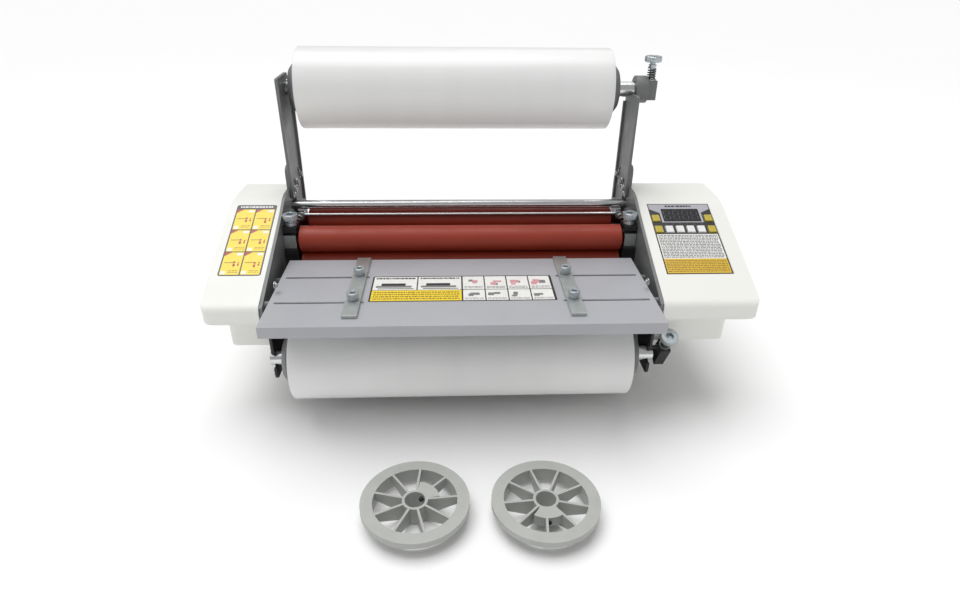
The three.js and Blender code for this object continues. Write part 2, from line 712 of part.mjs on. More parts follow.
const CARRIAGE_HALF = 7.7;
const CARRIAGE_BELOW = 8; // from the shaft's axis to the underside of its carriage
const CARRIAGE_ABOVE = 6.8;
const CARRIAGE_LOW = UPPER_AXIS - CARRIAGE_BELOW;
const CARRIAGE_HIGH = UPPER_AXIS + CARRIAGE_ABOVE;
const JAW_WALL = 6;
const JAW_LOW = CARRIAGE_HIGH + CARRIAGE_LIFT + GAP;
const JAW_HIGH = JAW_LOW + JAW_WALL;
const JAW_SPINE = 3;
const BEARING_BELOW = 11; // from the lower shaft's axis to the underside of the bearing frame
const BEARING_END_GAP = 2.5; // from the sleeve to the bearing frame
const CARRIAGE_END_GAP = 4; // and to the carriage
const PRESSURE_SCREW_RADIUS = 3;
const PRESSURE_KNOB_RADIUS = 7.9;
const PRESSURE_X = INSIDE_PLATE - PRESSURE_KNOB_RADIUS;

// A fixed C-shaped frame, open at the front, that carries the lower shaft and the pressure screw.
function bearingFrame(sign) {
  const half = CARRIAGE_HALF + GAP;
  const back = half + JAW_SPINE;
  const shape = [
    [-back, LOWER_AXIS - BEARING_BELOW],
    [back, LOWER_AXIS - BEARING_BELOW],
    [back, JAW_HIGH],
    [-half, JAW_HIGH],
    [-half, JAW_LOW],
    [half, JAW_LOW],
    [half, CARRIAGE_LOW - GAP],
    [-back, CARRIAGE_LOW - GAP],
  ];
  const across = spanX(sign, ROLLER_END + BEARING_END_GAP, INSIDE_PLATE);
  const through = spanX(sign, ROLLER_END, PLATE_INNER + PAST);
  const shaftHole = rodX(through, FRONT_LOWER, SHAFT_HOLE);
  const reach = [JAW_LOW - PAST, JAW_HIGH + PAST];
  const screwHole = rodZ(reach, [sign * PRESSURE_X, 0], PRESSURE_SCREW_RADIUS + GAP);
  return cut(prismX(shape, across), shaftHole, screwHole);
}

function pressureCarriage(sign) {
  const block = box(
    spanX(sign, ROLLER_END + CARRIAGE_END_GAP, INSIDE_PLATE),
    [-CARRIAGE_HALF, CARRIAGE_HALF],
    [CARRIAGE_LOW, CARRIAGE_HIGH],
  );
  return cut(block, rodX(spanX(sign, ROLLER_END, PLATE_INNER + PAST), FRONT_UPPER, SHAFT_HOLE));
}

function pressureKnob(sign) {
  const collarRadius = 6;
  const neckRadius = 4.5;
  const chamfer = 0.7;
  const collar = JAW_HIGH + GAP;
  const neck = collar + 3.5;
  const head = collar + 6;
  const top = collar + 12.7;
  const profile = [
    [JAW_LOW, 0],
    [JAW_LOW, PRESSURE_SCREW_RADIUS],
    [collar, PRESSURE_SCREW_RADIUS],
    [collar, collarRadius],
    [neck, collarRadius],
    [neck, neckRadius],
    [head, neckRadius],
    [head, PRESSURE_KNOB_RADIUS - chamfer],
    [head + chamfer, PRESSURE_KNOB_RADIUS],
    [top - chamfer, PRESSURE_KNOB_RADIUS],
    [top, PRESSURE_KNOB_RADIUS - chamfer],
    [top, 0],
  ];
  return turnedZ(profile, [sign * PRESSURE_X, 0], ROUND_SIDES);
}

// ---- Thin bars ----

function idlerBar() {
  const shoulder = INSIDE_PLATE;
  const end = PLATE_OUTER;
  const profile = [[-end, 0], [-end, IDLER_JOURNAL], [-shoulder, IDLER_JOURNAL], [-shoulder, IDLER_RADIUS],
    [shoulder, IDLER_RADIUS], [shoulder, IDLER_JOURNAL], [end, IDLER_JOURNAL], [end, 0]];
  return turnedX(profile, IDLER_PLACE, SMALL_SIDES);
}

// A thin rod held at each end in a small clamp against the side plate.
function peelBar() {
  const [y, z] = PEEL_BAR_PLACE;
  const clampNear = ROLLER_END + 3;
  const [front, back, low, high] = [y - 5, y + 2.5, z - 5, z + 4];
  const rounding = 1.5;
  const rod = rodX([-clampNear - PAST, clampNear + PAST], PEEL_BAR_PLACE, PEEL_BAR_RADIUS, 12);
  const clamps = SIDES.map(({ sign }) =>
    prismX(
      [[front, low, rounding], [back, low], [back, high, rounding], [front, high, rounding]],
      spanX(sign, clampNear, INSIDE_PLATE),
    ),
  );
  return join(rod, ...clamps);
}

// ---- Film arms, brackets, mandrels, rolls ----

// A flat arm inside the side plate, with a flange along its rear edge. The left arm ends in a hook
// that is open at the back, and the right one has a seat on top. The foot steps round the idler.
function filmArm(sign) {
  const [y, z] = UPPER_MANDREL;
  const notch = MANDREL_RADIUS + GAP;
  const hooked = sign < 0;
  const flangeTop = z - notch - ARM_SEAT_WALL;
  const web = spanX(sign, INSIDE_PLATE - ARM_WALL, INSIDE_PLATE);
  const through = spanX(sign, INSIDE_PLATE - ARM_WALL - PAST, INSIDE_PLATE + PAST);
  const hookTop = z + notch + ARM_HOOK_WALL;
  const top = hooked
    ? [
        [ARM_BACK, flangeTop, 2],
        [y + notch, z - notch - PAST],
        [y + notch, hookTop, 3],
        [ARM_FRONT - 4, hookTop, 2],
      ]
    : [[ARM_BACK, z - 5, 3], [ARM_FRONT, z - 2, 3]];
  const [stepY, stepZ] = IDLER_PLACE.map((place) => place + IDLER_RADIUS + 3);
  const foot = [[ARM_FRONT, stepZ, 3], [stepY, stepZ], [stepY, ARM_FOOT, 3], [ARM_BACK, ARM_FOOT, 3]];
  const plate = prismX([...foot, ...top], web);
  const flange = box(
    spanX(sign, INSIDE_PLATE - ARM_FLANGE, INSIDE_PLATE),
    [ARM_BACK - ARM_WALL, ARM_BACK],
    [ARM_FOOT + 6, flangeTop - 3],
  );
  const seat = rodX(through, UPPER_MANDREL, notch, ROUND_SIDES);
  const mouth = box(through, [y, ARM_BACK + PAST], [z - notch, z + notch]);
  const openings = [seat, ...armSlots(through)];
  return cut(join(plate, flange), ...(hooked ? [mouth] : []), ...openings);
}

// Two arc-shaped slots round the arm's pivot, through which it is bolted at the angle that it is set to.
function armSlots(through) {
  const pivot = [ARM_FRONT + 8, ARM_FOOT + 22];
  const steps = 5;
  return ARM_SLOT_RADII.map((radius, slot) => {
    const [from, to] = ARM_SLOT_SPANS[slot];
    const beads = Array.from({ length: steps + 1 }, (_, i) => {
      const angle = THREE.MathUtils.degToRad(from + ((to - from) * i) / steps);
      const bead = [pivot[0] + radius * Math.cos(angle), pivot[1] + radius * Math.sin(angle)];
      return rodX(through, bead, ARM_SLOT_HALF_WIDTH, 10);
    });
    return join(...beads);
  });
}

// A plate inside the side plate that reaches down to the lower mandrel; its slot is open at the front.
function lowerBracket(sign) {
  const [y, z] = LOWER_MANDREL;
  const front = y - BRACKET_FRONT_MARGIN;
  const low = z - BRACKET_BELOW;
  const top = TABLE_TOP - TABLE_LIP - BRACKET_TABLE_GAP;
  const heel = y + 17;
  const back = y + 48;
  const across = spanX(sign, INSIDE_PLATE - BRACKET_WALL, INSIDE_PLATE);
  const through = spanX(sign, INSIDE_PLATE - BRACKET_WALL - PAST, INSIDE_PLATE + PAST);
  const notch = MANDREL_RADIUS + GAP;
  const plate = prismX(
    [[front, low, 5], [heel, low, 6], [back, PLATE_LOW_EDGE + 4, 6], [back, top], [front, top]],
    across,
  );
  return cut(
    plate,
    rodX(through, LOWER_MANDREL, notch, ROUND_SIDES),
    box(through, [front - PAST, y], [z - notch, z + notch]),
  );
}

function mandrel(at, leftEnd, rightEnd) {
  const chamfer = 1;
  const r = MANDREL_RADIUS;
  return turnedX(
    [
      [leftEnd, 0],
      [leftEnd, r - chamfer],
      [leftEnd + chamfer, r],
      [rightEnd - chamfer, r],
      [rightEnd, r - chamfer],
      [rightEnd, 0],
    ],
    at,
    ROUND_SIDES,
  );
}

function filmRoll(at, radius, shift) {
  const left = shift - FILM_LENGTH / 2;
  const right = shift + FILM_LENGTH / 2;
  const edge = 0.5;
  const profile = [
    [left, CORE_BORE_RADIUS],
    [left, radius - edge],
    [left + edge, radius],
    [right - edge, radius],
    [right, radius - edge],
    [right, CORE_BORE_RADIUS],
  ];
  return turnedX(profile, at, LARGE_SIDES);
}

// A tapered plug on the mandrel that centres one end of the core.
function corePlug(at, face, sign) {
  const bore = MANDREL_RADIUS + GAP;
  const spigot = CORE_BORE_RADIUS - GAP;
  const start = face + sign * GAP;
  const lip = start + sign * PLUG_LIP;
  const end = lip + sign * PLUG_TAPER;
  const profile = [
    [face - sign * PLUG_SPIGOT, bore],
    [face - sign * PLUG_SPIGOT, spigot],
    [start, spigot],
    [start, PLUG_RADIUS],
    [lip, PLUG_RADIUS],
    [end, PLUG_NOSE_RADIUS],
    [end, bore],
  ];
  return turnedX(sign > 0 ? profile : profile.reverse(), at, ROUND_SIDES);
}

// ---- Brakes at the right ends of the mandrels ----

const BRAKE_BORE = MANDREL_RADIUS + GAP;
const BRAKE_SCREW_RADIUS = 2.5;
const BRAKE_KNOB_RADIUS = 9;
const BRAKE_HALF_DEPTH = 7.5;
const BRAKE_RING_WALL = 6.2;
const POST_RADIUS = 2;
const POST_MANDREL_GAP = 1.5;
const POST_REACH = MANDREL_RADIUS + POST_MANDREL_GAP + POST_RADIUS; // from the mandrel's axis to a post's
const UPPER_MANDREL_END = PLATE_OUTER + 8;
const UPPER_BRAKE_SCREW_X = UPPER_MANDREL_END + 7.4;
const LOWER_MANDREL_END = PLATE_OUTER;
const LOWER_BRAKE_SCREW_X = PLATE_OUTER + 9.5;
const LOWER_BRAKE_TILT = THREE.MathUtils.degToRad(30);

// Both clamps are drawn with the mandrel's axis along X and the screw along Z.

// A ring round the mandrel with a block past its end, in which the screw stands.
function upperBrakeClamp() {
  const ringNear = PLATE_INNER + PAST;
  const ring = rodX([ringNear, UPPER_MANDREL_END + 3], [0, 0], BRAKE_BORE + BRAKE_RING_WALL, ROUND_SIDES);
  const half = BRAKE_HALF_DEPTH;
  const block = box([UPPER_MANDREL_END + 1, UPPER_BRAKE_SCREW_X + 6], [-half, half], [-10.5, 10]);
  const bore = rodX([ringNear - PAST, UPPER_MANDREL_END + GAP], [0, 0], BRAKE_BORE, ROUND_SIDES);
  const screw = rodZ([-20, 20], [UPPER_BRAKE_SCREW_X, 0], BRAKE_SCREW_RADIUS + GAP);
  return cut(join(ring, block), bore, screw);
}

// A block held off the bracket by two posts.
function lowerBrakeClamp() {
  const half = BRAKE_HALF_DEPTH;
  const near = LOWER_BRAKE_SCREW_X - 5;
  const far = LOWER_BRAKE_SCREW_X + 5;
  const block = box([near, far], [-half, half], [-POST_REACH - 2.5, POST_REACH + 4.5]);
  const posts = [-POST_REACH, POST_REACH].map((z) => rodX([PLATE_INNER, near + PAST], [0, z], POST_RADIUS, 12));
  const screw = rodZ([-20, 20], [LOWER_BRAKE_SCREW_X, 0], BRAKE_SCREW_RADIUS + GAP);
  return cut(join(block, ...posts), screw);
}

// A screw with a collar and a knurled head, standing on the origin of its own frame.
function brakeScrew(below) {
  const collar = 23.5;
  const top = 35;
  const profile = [
    [-below, 0],
    [-below, BRAKE_SCREW_RADIUS],
    [collar, BRAKE_SCREW_RADIUS],
    [collar, 4.2],
    [collar + 3, 4.2],
    [collar + 3, BRAKE_SCREW_RADIUS + 0.5],
    [top - 6, BRAKE_SCREW_RADIUS + 0.5],
    [top - 6, BRAKE_KNOB_RADIUS - 0.8],
    [top - 5.2, BRAKE_KNOB_RADIUS],
    [top - 0.8, BRAKE_KNOB_RADIUS],
    [top, BRAKE_KNOB_RADIUS - 0.8],
    [top, 0],
  ];
  return turnedZ(profile, [0, 0]);
}

// ---- Feed table and guides ----

function feedTable() {
  const path = [
    [TABLE_FRONT, TABLE_TOP - TABLE_LIP],
    [TABLE_FRONT, TABLE_TOP],
    [TABLE_BACK, TABLE_TOP],
    [TABLE_BACK, TABLE_TOP - TABLE_REAR_LIP],
  ];
  const deck = prismX(bentSheet(path, -SHEET_WALL), [-TABLE_HALF, TABLE_HALF]);
  const skirts = SIDES.map(({ sign }) =>
    box(
      spanX(sign, TABLE_HALF - SHEET_WALL, TABLE_HALF),
      [TABLE_FRONT + 1, TABLE_BACK - 1],
      [TABLE_TOP - TABLE_LIP, TABLE_TOP - SHEET_WALL / 2],
    ),
  );
  return cut(join(deck, ...skirts), ...tableSlots(), ...studNotches());
}

function tableSlots() {
  const half = GUIDE_SCREW_RADIUS + GAP;
  return SIDES.flatMap(({ sign }) =>
    SLOT_FROM_BACK.map((back) =>
      box(
        spanX(sign, SLOT_INNER, TABLE_HALF - SLOT_END_MARGIN),
        [TABLE_BACK - back - half, TABLE_BACK - back + half],
        [TABLE_TOP - 2 * SHEET_WALL, TABLE_TOP + PAST],
      ),
    ),
  );
}

// The table hangs on the plates' studs by notches that are open below.
function studNotches() {
  const half = TABLE_STUD_RADIUS + GAP;
  const low = TABLE_TOP - TABLE_LIP - PAST;
  return SIDES.flatMap(({ sign }) =>
    TABLE_STUDS_Y.map((y) =>
      box(
        spanX(sign, TABLE_HALF - 2 * SHEET_WALL, TABLE_HALF + PAST),
        [y - half, y + half],
        [low, TABLE_STUD_HEIGHT + half],
      ),
    ),
  );
}

function guide(sign) {
  const back = TABLE_BACK - GUIDE_BACK_MARGIN;
  const low = TABLE_TOP + GAP;
  const bar = box(
    spanX(sign, GUIDE_INNER, GUIDE_INNER + GUIDE_WIDTH),
    [back - GUIDE_LENGTH, back],
    [low, low + GUIDE_THICKNESS],
  );
  const holes = SLOT_FROM_BACK.map((fromBack) =>
    rodZ([low - PAST, low + PAST + GUIDE_THICKNESS], [sign * GUIDE_SCREW_X, TABLE_BACK - fromBack],
      GUIDE_SCREW_RADIUS + GAP, 12),
  );
  return cut(bar, ...holes);
}

// A thumb screw through the guide and the slot.
function guideKnob(sign, fromBack) {
  const seat = TABLE_TOP + 2 * GAP + GUIDE_THICKNESS;
  const profile = [
    [TABLE_TOP - 8, 0],
    [TABLE_TOP - 8, GUIDE_SCREW_RADIUS],
    [seat, GUIDE_SCREW_RADIUS],
    [seat, GUIDE_KNOB_RADIUS - 1],
    [seat + 2.4, GUIDE_KNOB_RADIUS - 1],
    [seat + 2.4, GUIDE_KNOB_RADIUS],
    [seat + 6.5, GUIDE_KNOB_RADIUS],
    [seat + 7.2, GUIDE_KNOB_RADIUS - 0.7],
    [seat + 7.2, 0],
  ];
  return turnedZ(profile, [sign * GUIDE_SCREW_X, TABLE_BACK - fromBack], 16);
}

// ---- Core adapters: a flange over a short sleeve, nine tapering ribs, and a hub with a lug ----

function adapterRing() {
  const bottom = ADAPTER_HEIGHT - ADAPTER_SLEEVE_DEPTH;
  const middle = [0, 0];
  const rim = [ADAPTER_HEIGHT - ADAPTER_FLANGE_WALL, ADAPTER_HEIGHT];
  const flange = rodZ(rim, middle, ADAPTER_FLANGE_RADIUS, LARGE_SIDES);
  const sleeve = rodZ([bottom, ADAPTER_HEIGHT], middle, ADAPTER_CORE_RADIUS, LARGE_SIDES);
  const innerRadius = ADAPTER_CORE_RADIUS - ADAPTER_SLEEVE_WALL;
  const inside = rodZ([bottom - PAST, ADAPTER_HEIGHT + PAST], middle, innerRadius, LARGE_SIDES);
  return cut(join(flange, sleeve), inside);
}

function adapterRib(inner, degrees) {
  const half = ADAPTER_RIB_WALL / 2;
  const outer = ADAPTER_CORE_RADIUS - ADAPTER_SLEEVE_WALL / 2;
  const top = ADAPTER_HEIGHT;
  const side = [[inner, 0], [outer, top - ADAPTER_RIB_END], [outer, top], [inner, top]];
  return prismY(side, [-half, half]).rotateZ(THREE.MathUtils.degToRad(degrees));
}

function adapterLug(degrees) {
  const steps = 6;
  const rim = Array.from({ length: steps + 1 }, (_, i) => {
    const angle = THREE.MathUtils.degToRad(degrees + ADAPTER_LUG_HALF_DEGREES * ((2 * i) / steps - 1));
    return [ADAPTER_LUG_RADIUS * Math.cos(angle), ADAPTER_LUG_RADIUS * Math.sin(angle)];
  });
  return prismZ([[0, 0], ...rim], [ADAPTER_HEIGHT - ADAPTER_LUG_HEIGHT, ADAPTER_HEIGHT]);
}

function coreAdapter(lugDegrees, firstRibDegrees) {
  const bore = MANDREL_RADIUS + ADAPTER_BORE_GAP;
  const hubRadius = bore + ADAPTER_HUB_WALL;
  const hub = rodZ([0, ADAPTER_HEIGHT], [0, 0], hubRadius, ROUND_SIDES);
  const ribs = Array.from({ length: ADAPTER_RIBS }, (_, i) =>
    adapterRib(hubRadius - PAST, firstRibDegrees + (i * 360) / ADAPTER_RIBS),
  );
  const hole = rodZ([-PAST, ADAPTER_HEIGHT + PAST], [0, 0], bore, ROUND_SIDES);
  return cut(join(adapterRing(), hub, adapterLug(lugDegrees), ...ribs), hole);
}

// ---- Finishes ----

function finish(color, roughness, metalness = 0) {
  return new THREE.MeshStandardMaterial({ color, roughness, metalness });
}

const FINISHES = {
  whiteCasing: finish(0xf0f0ec, 0.45),
  greyPaint: finish(0x6e7072, 0.5, 0.3),
  tablePaint: finish(0xb2b3b7, 0.45, 0.2),
  darkPaint: finish(0x2c2d2e, 0.5, 0.3),
  zinc: finish(0xb9beb9, 0.35, 0.8),
  chrome: finish(0xd8dadc, 0.12, 1),
  silicone: finish(0x8c3426, 0.55),
  film: finish(0xf2f2f0, 0.3),
  blackPlastic: finish(0x1b1b1c, 0.5),
  greyPlastic: finish(0xb2b4af, 0.55),
  plugPlastic: finish(0x7c7e80, 0.5),
  rubber: finish(0x202020, 0.85),
  keyYellow: finish(0xb9a63a, 0.5),
  keyWhite: finish(0xe6e6e4, 0.5),
};

// ---- Assembly ----

const laminator = new THREE.Group();

function add(name, geometry, material, group = laminator) {
  const mesh = new THREE.Mesh(geometry, material);
  mesh.name = name;
  group.add(mesh);
  return mesh;
}

function addFrame() {
  for (const { side, sign } of SIDES) {
    add(`${side}_side_plate`, sidePlate(sign), FINISHES.greyPaint);
    add(`front_${side}_foot`, foot(sign, FRAME_FRONT + FOOT_FROM_FRONT), FINISHES.rubber);
    add(`rear_${side}_foot`, foot(sign, FRAME_REAR - FOOT_FROM_REAR), FINISHES.rubber);
  }
  add("chassis_pan", chassisPan(), FINISHES.greyPaint);
}

function addCasings() {
  for (const { side, sign, casingWidth, shellInset } of SIDES) {
    const shell = casing(sign, casingWidth);
    const cutouts = sign > 0 ? [...panelCutouts(), inletCutout()] : [];
    add(`${side}_casing`, cutouts.length ? cut(shell, ...cutouts) : shell, FINISHES.whiteCasing);
    add(`${side}_lower_shell`, lowerShell(sign, casingWidth, shellInset), FINISHES.whiteCasing);
  }
}

function addControls() {
  const panel = new THREE.Group();
  panel.applyMatrix4(panelMatrix());
  laminator.add(panel);
  keyPlaces().forEach(({ name, at: [x, y] }, i) => {
    const yellow = i < 3 || i === 7;
    const cap = add(name, key(), yellow ? FINISHES.keyYellow : FINISHES.keyWhite, panel);
    cap.position.set(x, y, 0);
  });
  add("power_inlet", powerInlet(), FINISHES.blackPlastic);
  const lever = add("power_rocker", rocker(), FINISHES.blackPlastic);
  lever.position.set(INLET_MIDDLE[0] + ROCKER_X, ROCKER_PIVOT_Y, INLET_MIDDLE[1]);
  lever.rotation.x = ROCKER_TILT;
}

function addRollers() {
  add("front_upper_roller", upperRoller(FRONT_UPPER), FINISHES.silicone);
  add("front_lower_roller", lowerRoller(FRONT_LOWER, FRONT_LOWER_END), FINISHES.silicone);
  add("rear_upper_roller", upperRoller(REAR_UPPER), FINISHES.silicone);
  add("rear_lower_roller", lowerRoller(REAR_LOWER, GEAR_FAR + SHAFT_END), FINISHES.silicone);
  add("drive_belt", driveBelt(), FINISHES.rubber);
  add("drive_motor", driveMotor(), FINISHES.zinc);
  add("idler_bar", idlerBar(), FINISHES.chrome);
  add("peel_bar", peelBar(), FINISHES.chrome);
  for (const { side, sign } of SIDES) {
    add(`${side}_bearing_frame`, bearingFrame(sign), FINISHES.blackPlastic);
    add(`${side}_pressure_carriage`, pressureCarriage(sign), FINISHES.zinc);
    add(`${side}_pressure_knob`, pressureKnob(sign), FINISHES.zinc);
  }
}

function addFilmSupply() {
  const rolls = [
    { level: "upper", at: UPPER_MANDREL, radius: UPPER_FILM_RADIUS, shift: UPPER_FILM_SHIFT },
    { level: "lower", at: LOWER_MANDREL, radius: LOWER_FILM_RADIUS, shift: LOWER_FILM_SHIFT },
  ];
  for (const { level, at, radius, shift } of rolls) {
    add(`${level}_film_roll`, filmRoll(at, radius, shift), FINISHES.film);
    for (const { side, sign } of SIDES) {
      const face = shift + (sign * FILM_LENGTH) / 2;
      add(`${level}_${side}_plug`, corePlug(at, face, sign), FINISHES.plugPlastic);
    }
  }
  add("upper_mandrel", mandrel(UPPER_MANDREL, -PLATE_OUTER - 4, UPPER_MANDREL_END), FINISHES.chrome);
  add("lower_mandrel", mandrel(LOWER_MANDREL, -LOWER_MANDREL_END, LOWER_MANDREL_END), FINISHES.chrome);
  for (const { side, sign } of SIDES) {
    add(`${side}_film_arm`, filmArm(sign), FINISHES.greyPaint);
    add(`${side}_lower_bracket`, lowerBracket(sign), FINISHES.darkPaint);
  }
}

function addBrakes() {
  const brakes = [
    {
      level: "upper",
      at: UPPER_MANDREL,
      tilt: 0,
      screwX: UPPER_BRAKE_SCREW_X,
      clamp: upperBrakeClamp(),
      finish: FINISHES.greyPaint,
    },
    {
      level: "lower",
      at: LOWER_MANDREL,
      tilt: LOWER_BRAKE_TILT,
      screwX: LOWER_BRAKE_SCREW_X,
      clamp: lowerBrakeClamp(),
      finish: FINISHES.darkPaint,
    },
  ];
  for (const { level, at, tilt, screwX, clamp, finish } of brakes) {
    const brake = new THREE.Group();
    brake.position.set(0, ...at);
    brake.rotation.x = tilt;
    laminator.add(brake);
    add(`${level}_brake_clamp`, clamp, finish, brake);
    const knob = add(`${level}_brake_knob`, brakeScrew(14), FINISHES.zinc, brake);
    knob.position.x = screwX;
  }
}

function addTable() {
  add("feed_table", feedTable(), FINISHES.tablePaint);
  for (const { side, sign } of SIDES) {
    add(`${side}_guide`, guide(sign), FINISHES.zinc);
    const ends = ["rear", "front"];
    SLOT_FROM_BACK.forEach((fromBack, i) => {
      add(`${side}_${ends[i]}_guide_knob`, guideKnob(sign, fromBack), FINISHES.zinc);
    });
  }
}

function addAdapters() {
  for (const { name, at, lug, firstRib } of ADAPTER_PLACES) {
    const adapter = add(name, coreAdapter(lug, firstRib), FINISHES.greyPlastic);
    adapter.position.set(at[0], at[1], 0);
  }
}

// The part's origin is the middle of its footprint, on the floor.
function centreFootprint() {
  laminator.updateMatrixWorld(true);
  const middle = new THREE.Box3().setFromObject(laminator, true).getCenter(new THREE.Vector3());
  laminator.position.set(-middle.x, -middle.y, 0);
}

addFrame();
addCasings();
addControls();
addRollers();
addFilmSupply();
addBrakes();
addTable();
addAdapters();
centreFootprint();

export default laminator;
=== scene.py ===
"""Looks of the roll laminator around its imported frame: finishes, labels, knobs, springs, screws, studio."""

import json
import math
import random

import bmesh
import bpy
from mathutils import Matrix, Vector


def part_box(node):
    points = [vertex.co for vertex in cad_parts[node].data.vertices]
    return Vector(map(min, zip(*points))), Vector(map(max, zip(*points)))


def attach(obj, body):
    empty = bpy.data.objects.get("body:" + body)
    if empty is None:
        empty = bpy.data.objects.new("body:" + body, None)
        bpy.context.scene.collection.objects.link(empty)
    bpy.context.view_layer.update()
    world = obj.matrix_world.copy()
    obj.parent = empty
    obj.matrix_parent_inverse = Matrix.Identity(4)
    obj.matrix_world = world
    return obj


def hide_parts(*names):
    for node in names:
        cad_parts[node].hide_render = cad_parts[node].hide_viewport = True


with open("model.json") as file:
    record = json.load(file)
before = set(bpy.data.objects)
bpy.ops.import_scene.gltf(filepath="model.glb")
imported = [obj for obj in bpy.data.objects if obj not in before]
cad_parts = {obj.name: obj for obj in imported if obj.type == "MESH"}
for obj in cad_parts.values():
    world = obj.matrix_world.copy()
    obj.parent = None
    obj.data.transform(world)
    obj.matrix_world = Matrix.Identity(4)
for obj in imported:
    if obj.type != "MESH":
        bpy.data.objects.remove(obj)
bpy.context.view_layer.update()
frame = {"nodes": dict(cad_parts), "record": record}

MM = 0.001
PAPER = 0.05  # thickness of one printed layer, mm


# ---- Places: millimetres from the middle of the machine, from the frame's own boxes ----

def middle(node):
    low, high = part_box(node)
    return (low + high) / 2


MACHINE = Vector((middle("feed_table").x, middle("left_bearing_frame").y, 0))


def at(x, y, z):
    return MACHINE + Vector((x, y, z)) * MM


def local_box(node):
    """A node's box in millimetres from the middle of the machine."""
    low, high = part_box(node)
    return (low - MACHINE) / MM, (high - MACHINE) / MM


def local_middle(node):
    return (middle(node) - MACHINE) / MM


def place(x, y, z, turn=None):
    """A matrix from a piece's own millimetres to the row frame."""
    scale = Matrix.Scale(MM, 4)
    turned = turn.to_4x4() if turn else Matrix.Identity(4)
    return Matrix.Translation(at(x, y, z)) @ scale @ turned


ALONG_X = Matrix.Rotation(math.pi / 2, 3, "Y")
ALONG_MINUS_X = Matrix.Rotation(-math.pi / 2, 3, "Y")
ALONG_MINUS_Y = Matrix.Rotation(math.pi / 2, 3, "X")


# ---- Finishes ----

def rgb(red, green, blue):
    """Linear colour of three display values from 0 to 255."""
    def linear(value):
        share = value / 255
        return share / 12.92 if share <= 0.04045 else ((share + 0.055) / 1.055) ** 2.4

    return (linear(red), linear(green), linear(blue), 1.0)


def shade(colour, factor):
    return tuple(min(1.0, c * factor) for c in colour[:3]) + (1.0,)


class Finish:
    """A material on the principled shader, built up from a few noise layers in object space."""

    def __init__(self, name):
        self.material = bpy.data.materials.new(name)
        self.material.use_nodes = True
        self.tree = self.material.node_tree
        self.shader = self.tree.nodes["Principled BSDF"]
        self.where = self.node("ShaderNodeTexCoord").outputs["Object"]

    def node(self, kind, **settings):
        made = self.tree.nodes.new(kind)
        for key, value in settings.items():
            setattr(made, key, value)
        return made

    def link(self, source, target):
        self.tree.links.new(source, target)

    def noise(self, size, detail=3.0, stretch=(1, 1, 1), where=None):
        """Noise with features of this size in metres, longer along an axis by its stretch."""
        mapping = self.node("ShaderNodeMapping")
        mapping.inputs["Scale"].default_value = [1 / (size * s) for s in stretch]
        self.link(where or self.where, mapping.inputs["Vector"])
        texture = self.node("ShaderNodeTexNoise")
        texture.inputs["Scale"].default_value = 1.0
        texture.inputs["Detail"].default_value = detail
        self.link(mapping.outputs["Vector"], texture.inputs["Vector"])
        return texture.outputs["Fac"]

    def ramp(self, source, stops):
        made = self.node("ShaderNodeValToRGB")
        ramp = made.color_ramp
        while len(ramp.elements) < len(stops):
            ramp.elements.new(0.5)
        for element, (position, colour) in zip(ramp.elements, stops):
            element.position = position
            element.color = colour
        self.link(source, made.inputs["Fac"])
        return made.outputs["Color"]

    def spread(self, source, low, high, start=0.3, end=0.7):
        made = self.node("ShaderNodeMapRange")
        made.inputs["From Min"].default_value = start
        made.inputs["From Max"].default_value = end
        made.inputs["To Min"].default_value = low
        made.inputs["To Max"].default_value = high
        self.link(source, made.inputs["Value"])
        return made.outputs["Result"]

    def blend(self, share, first, second):
        made = self.node("ShaderNodeMix", data_type="RGBA")
        self.link(share, made.inputs["Factor"])
        for socket, value in ((made.inputs["A"], first), (made.inputs["B"], second)):
            if isinstance(value, tuple):
                socket.default_value = value
            else:
                self.link(value, socket)
        return made.outputs["Result"]

    def bump(self, source, depth, strength=1.0):
        made = self.node("ShaderNodeBump")
        made.inputs["Distance"].default_value = depth
        made.inputs["Strength"].default_value = strength
        self.link(source, made.inputs["Height"])
        self.link(made.outputs["Normal"], self.shader.inputs["Normal"])

    def edges(self, width):
        """1 on outer edges narrower than width, 0 on flat ground, broken up by noise."""
        bevel = self.node("ShaderNodeBevel", samples=4)
        bevel.inputs["Radius"].default_value = width
        flat = self.node("ShaderNodeNewGeometry")
        dot = self.node("ShaderNodeVectorMath", operation="DOT_PRODUCT")
        self.link(bevel.outputs["Normal"], dot.inputs[0])
        self.link(flat.outputs["Normal"], dot.inputs[1])
        edge = self.spread(dot.outputs["Value"], 1.0, 0.0, 0.8, 0.97)
        patchy = self.spread(self.noise(0.006), 0.2, 1.0)
        both = self.node("ShaderNodeMath", operation="MULTIPLY")
        self.link(edge, both.inputs[0])
        self.link(patchy, both.inputs[1])
        return both.outputs["Value"]


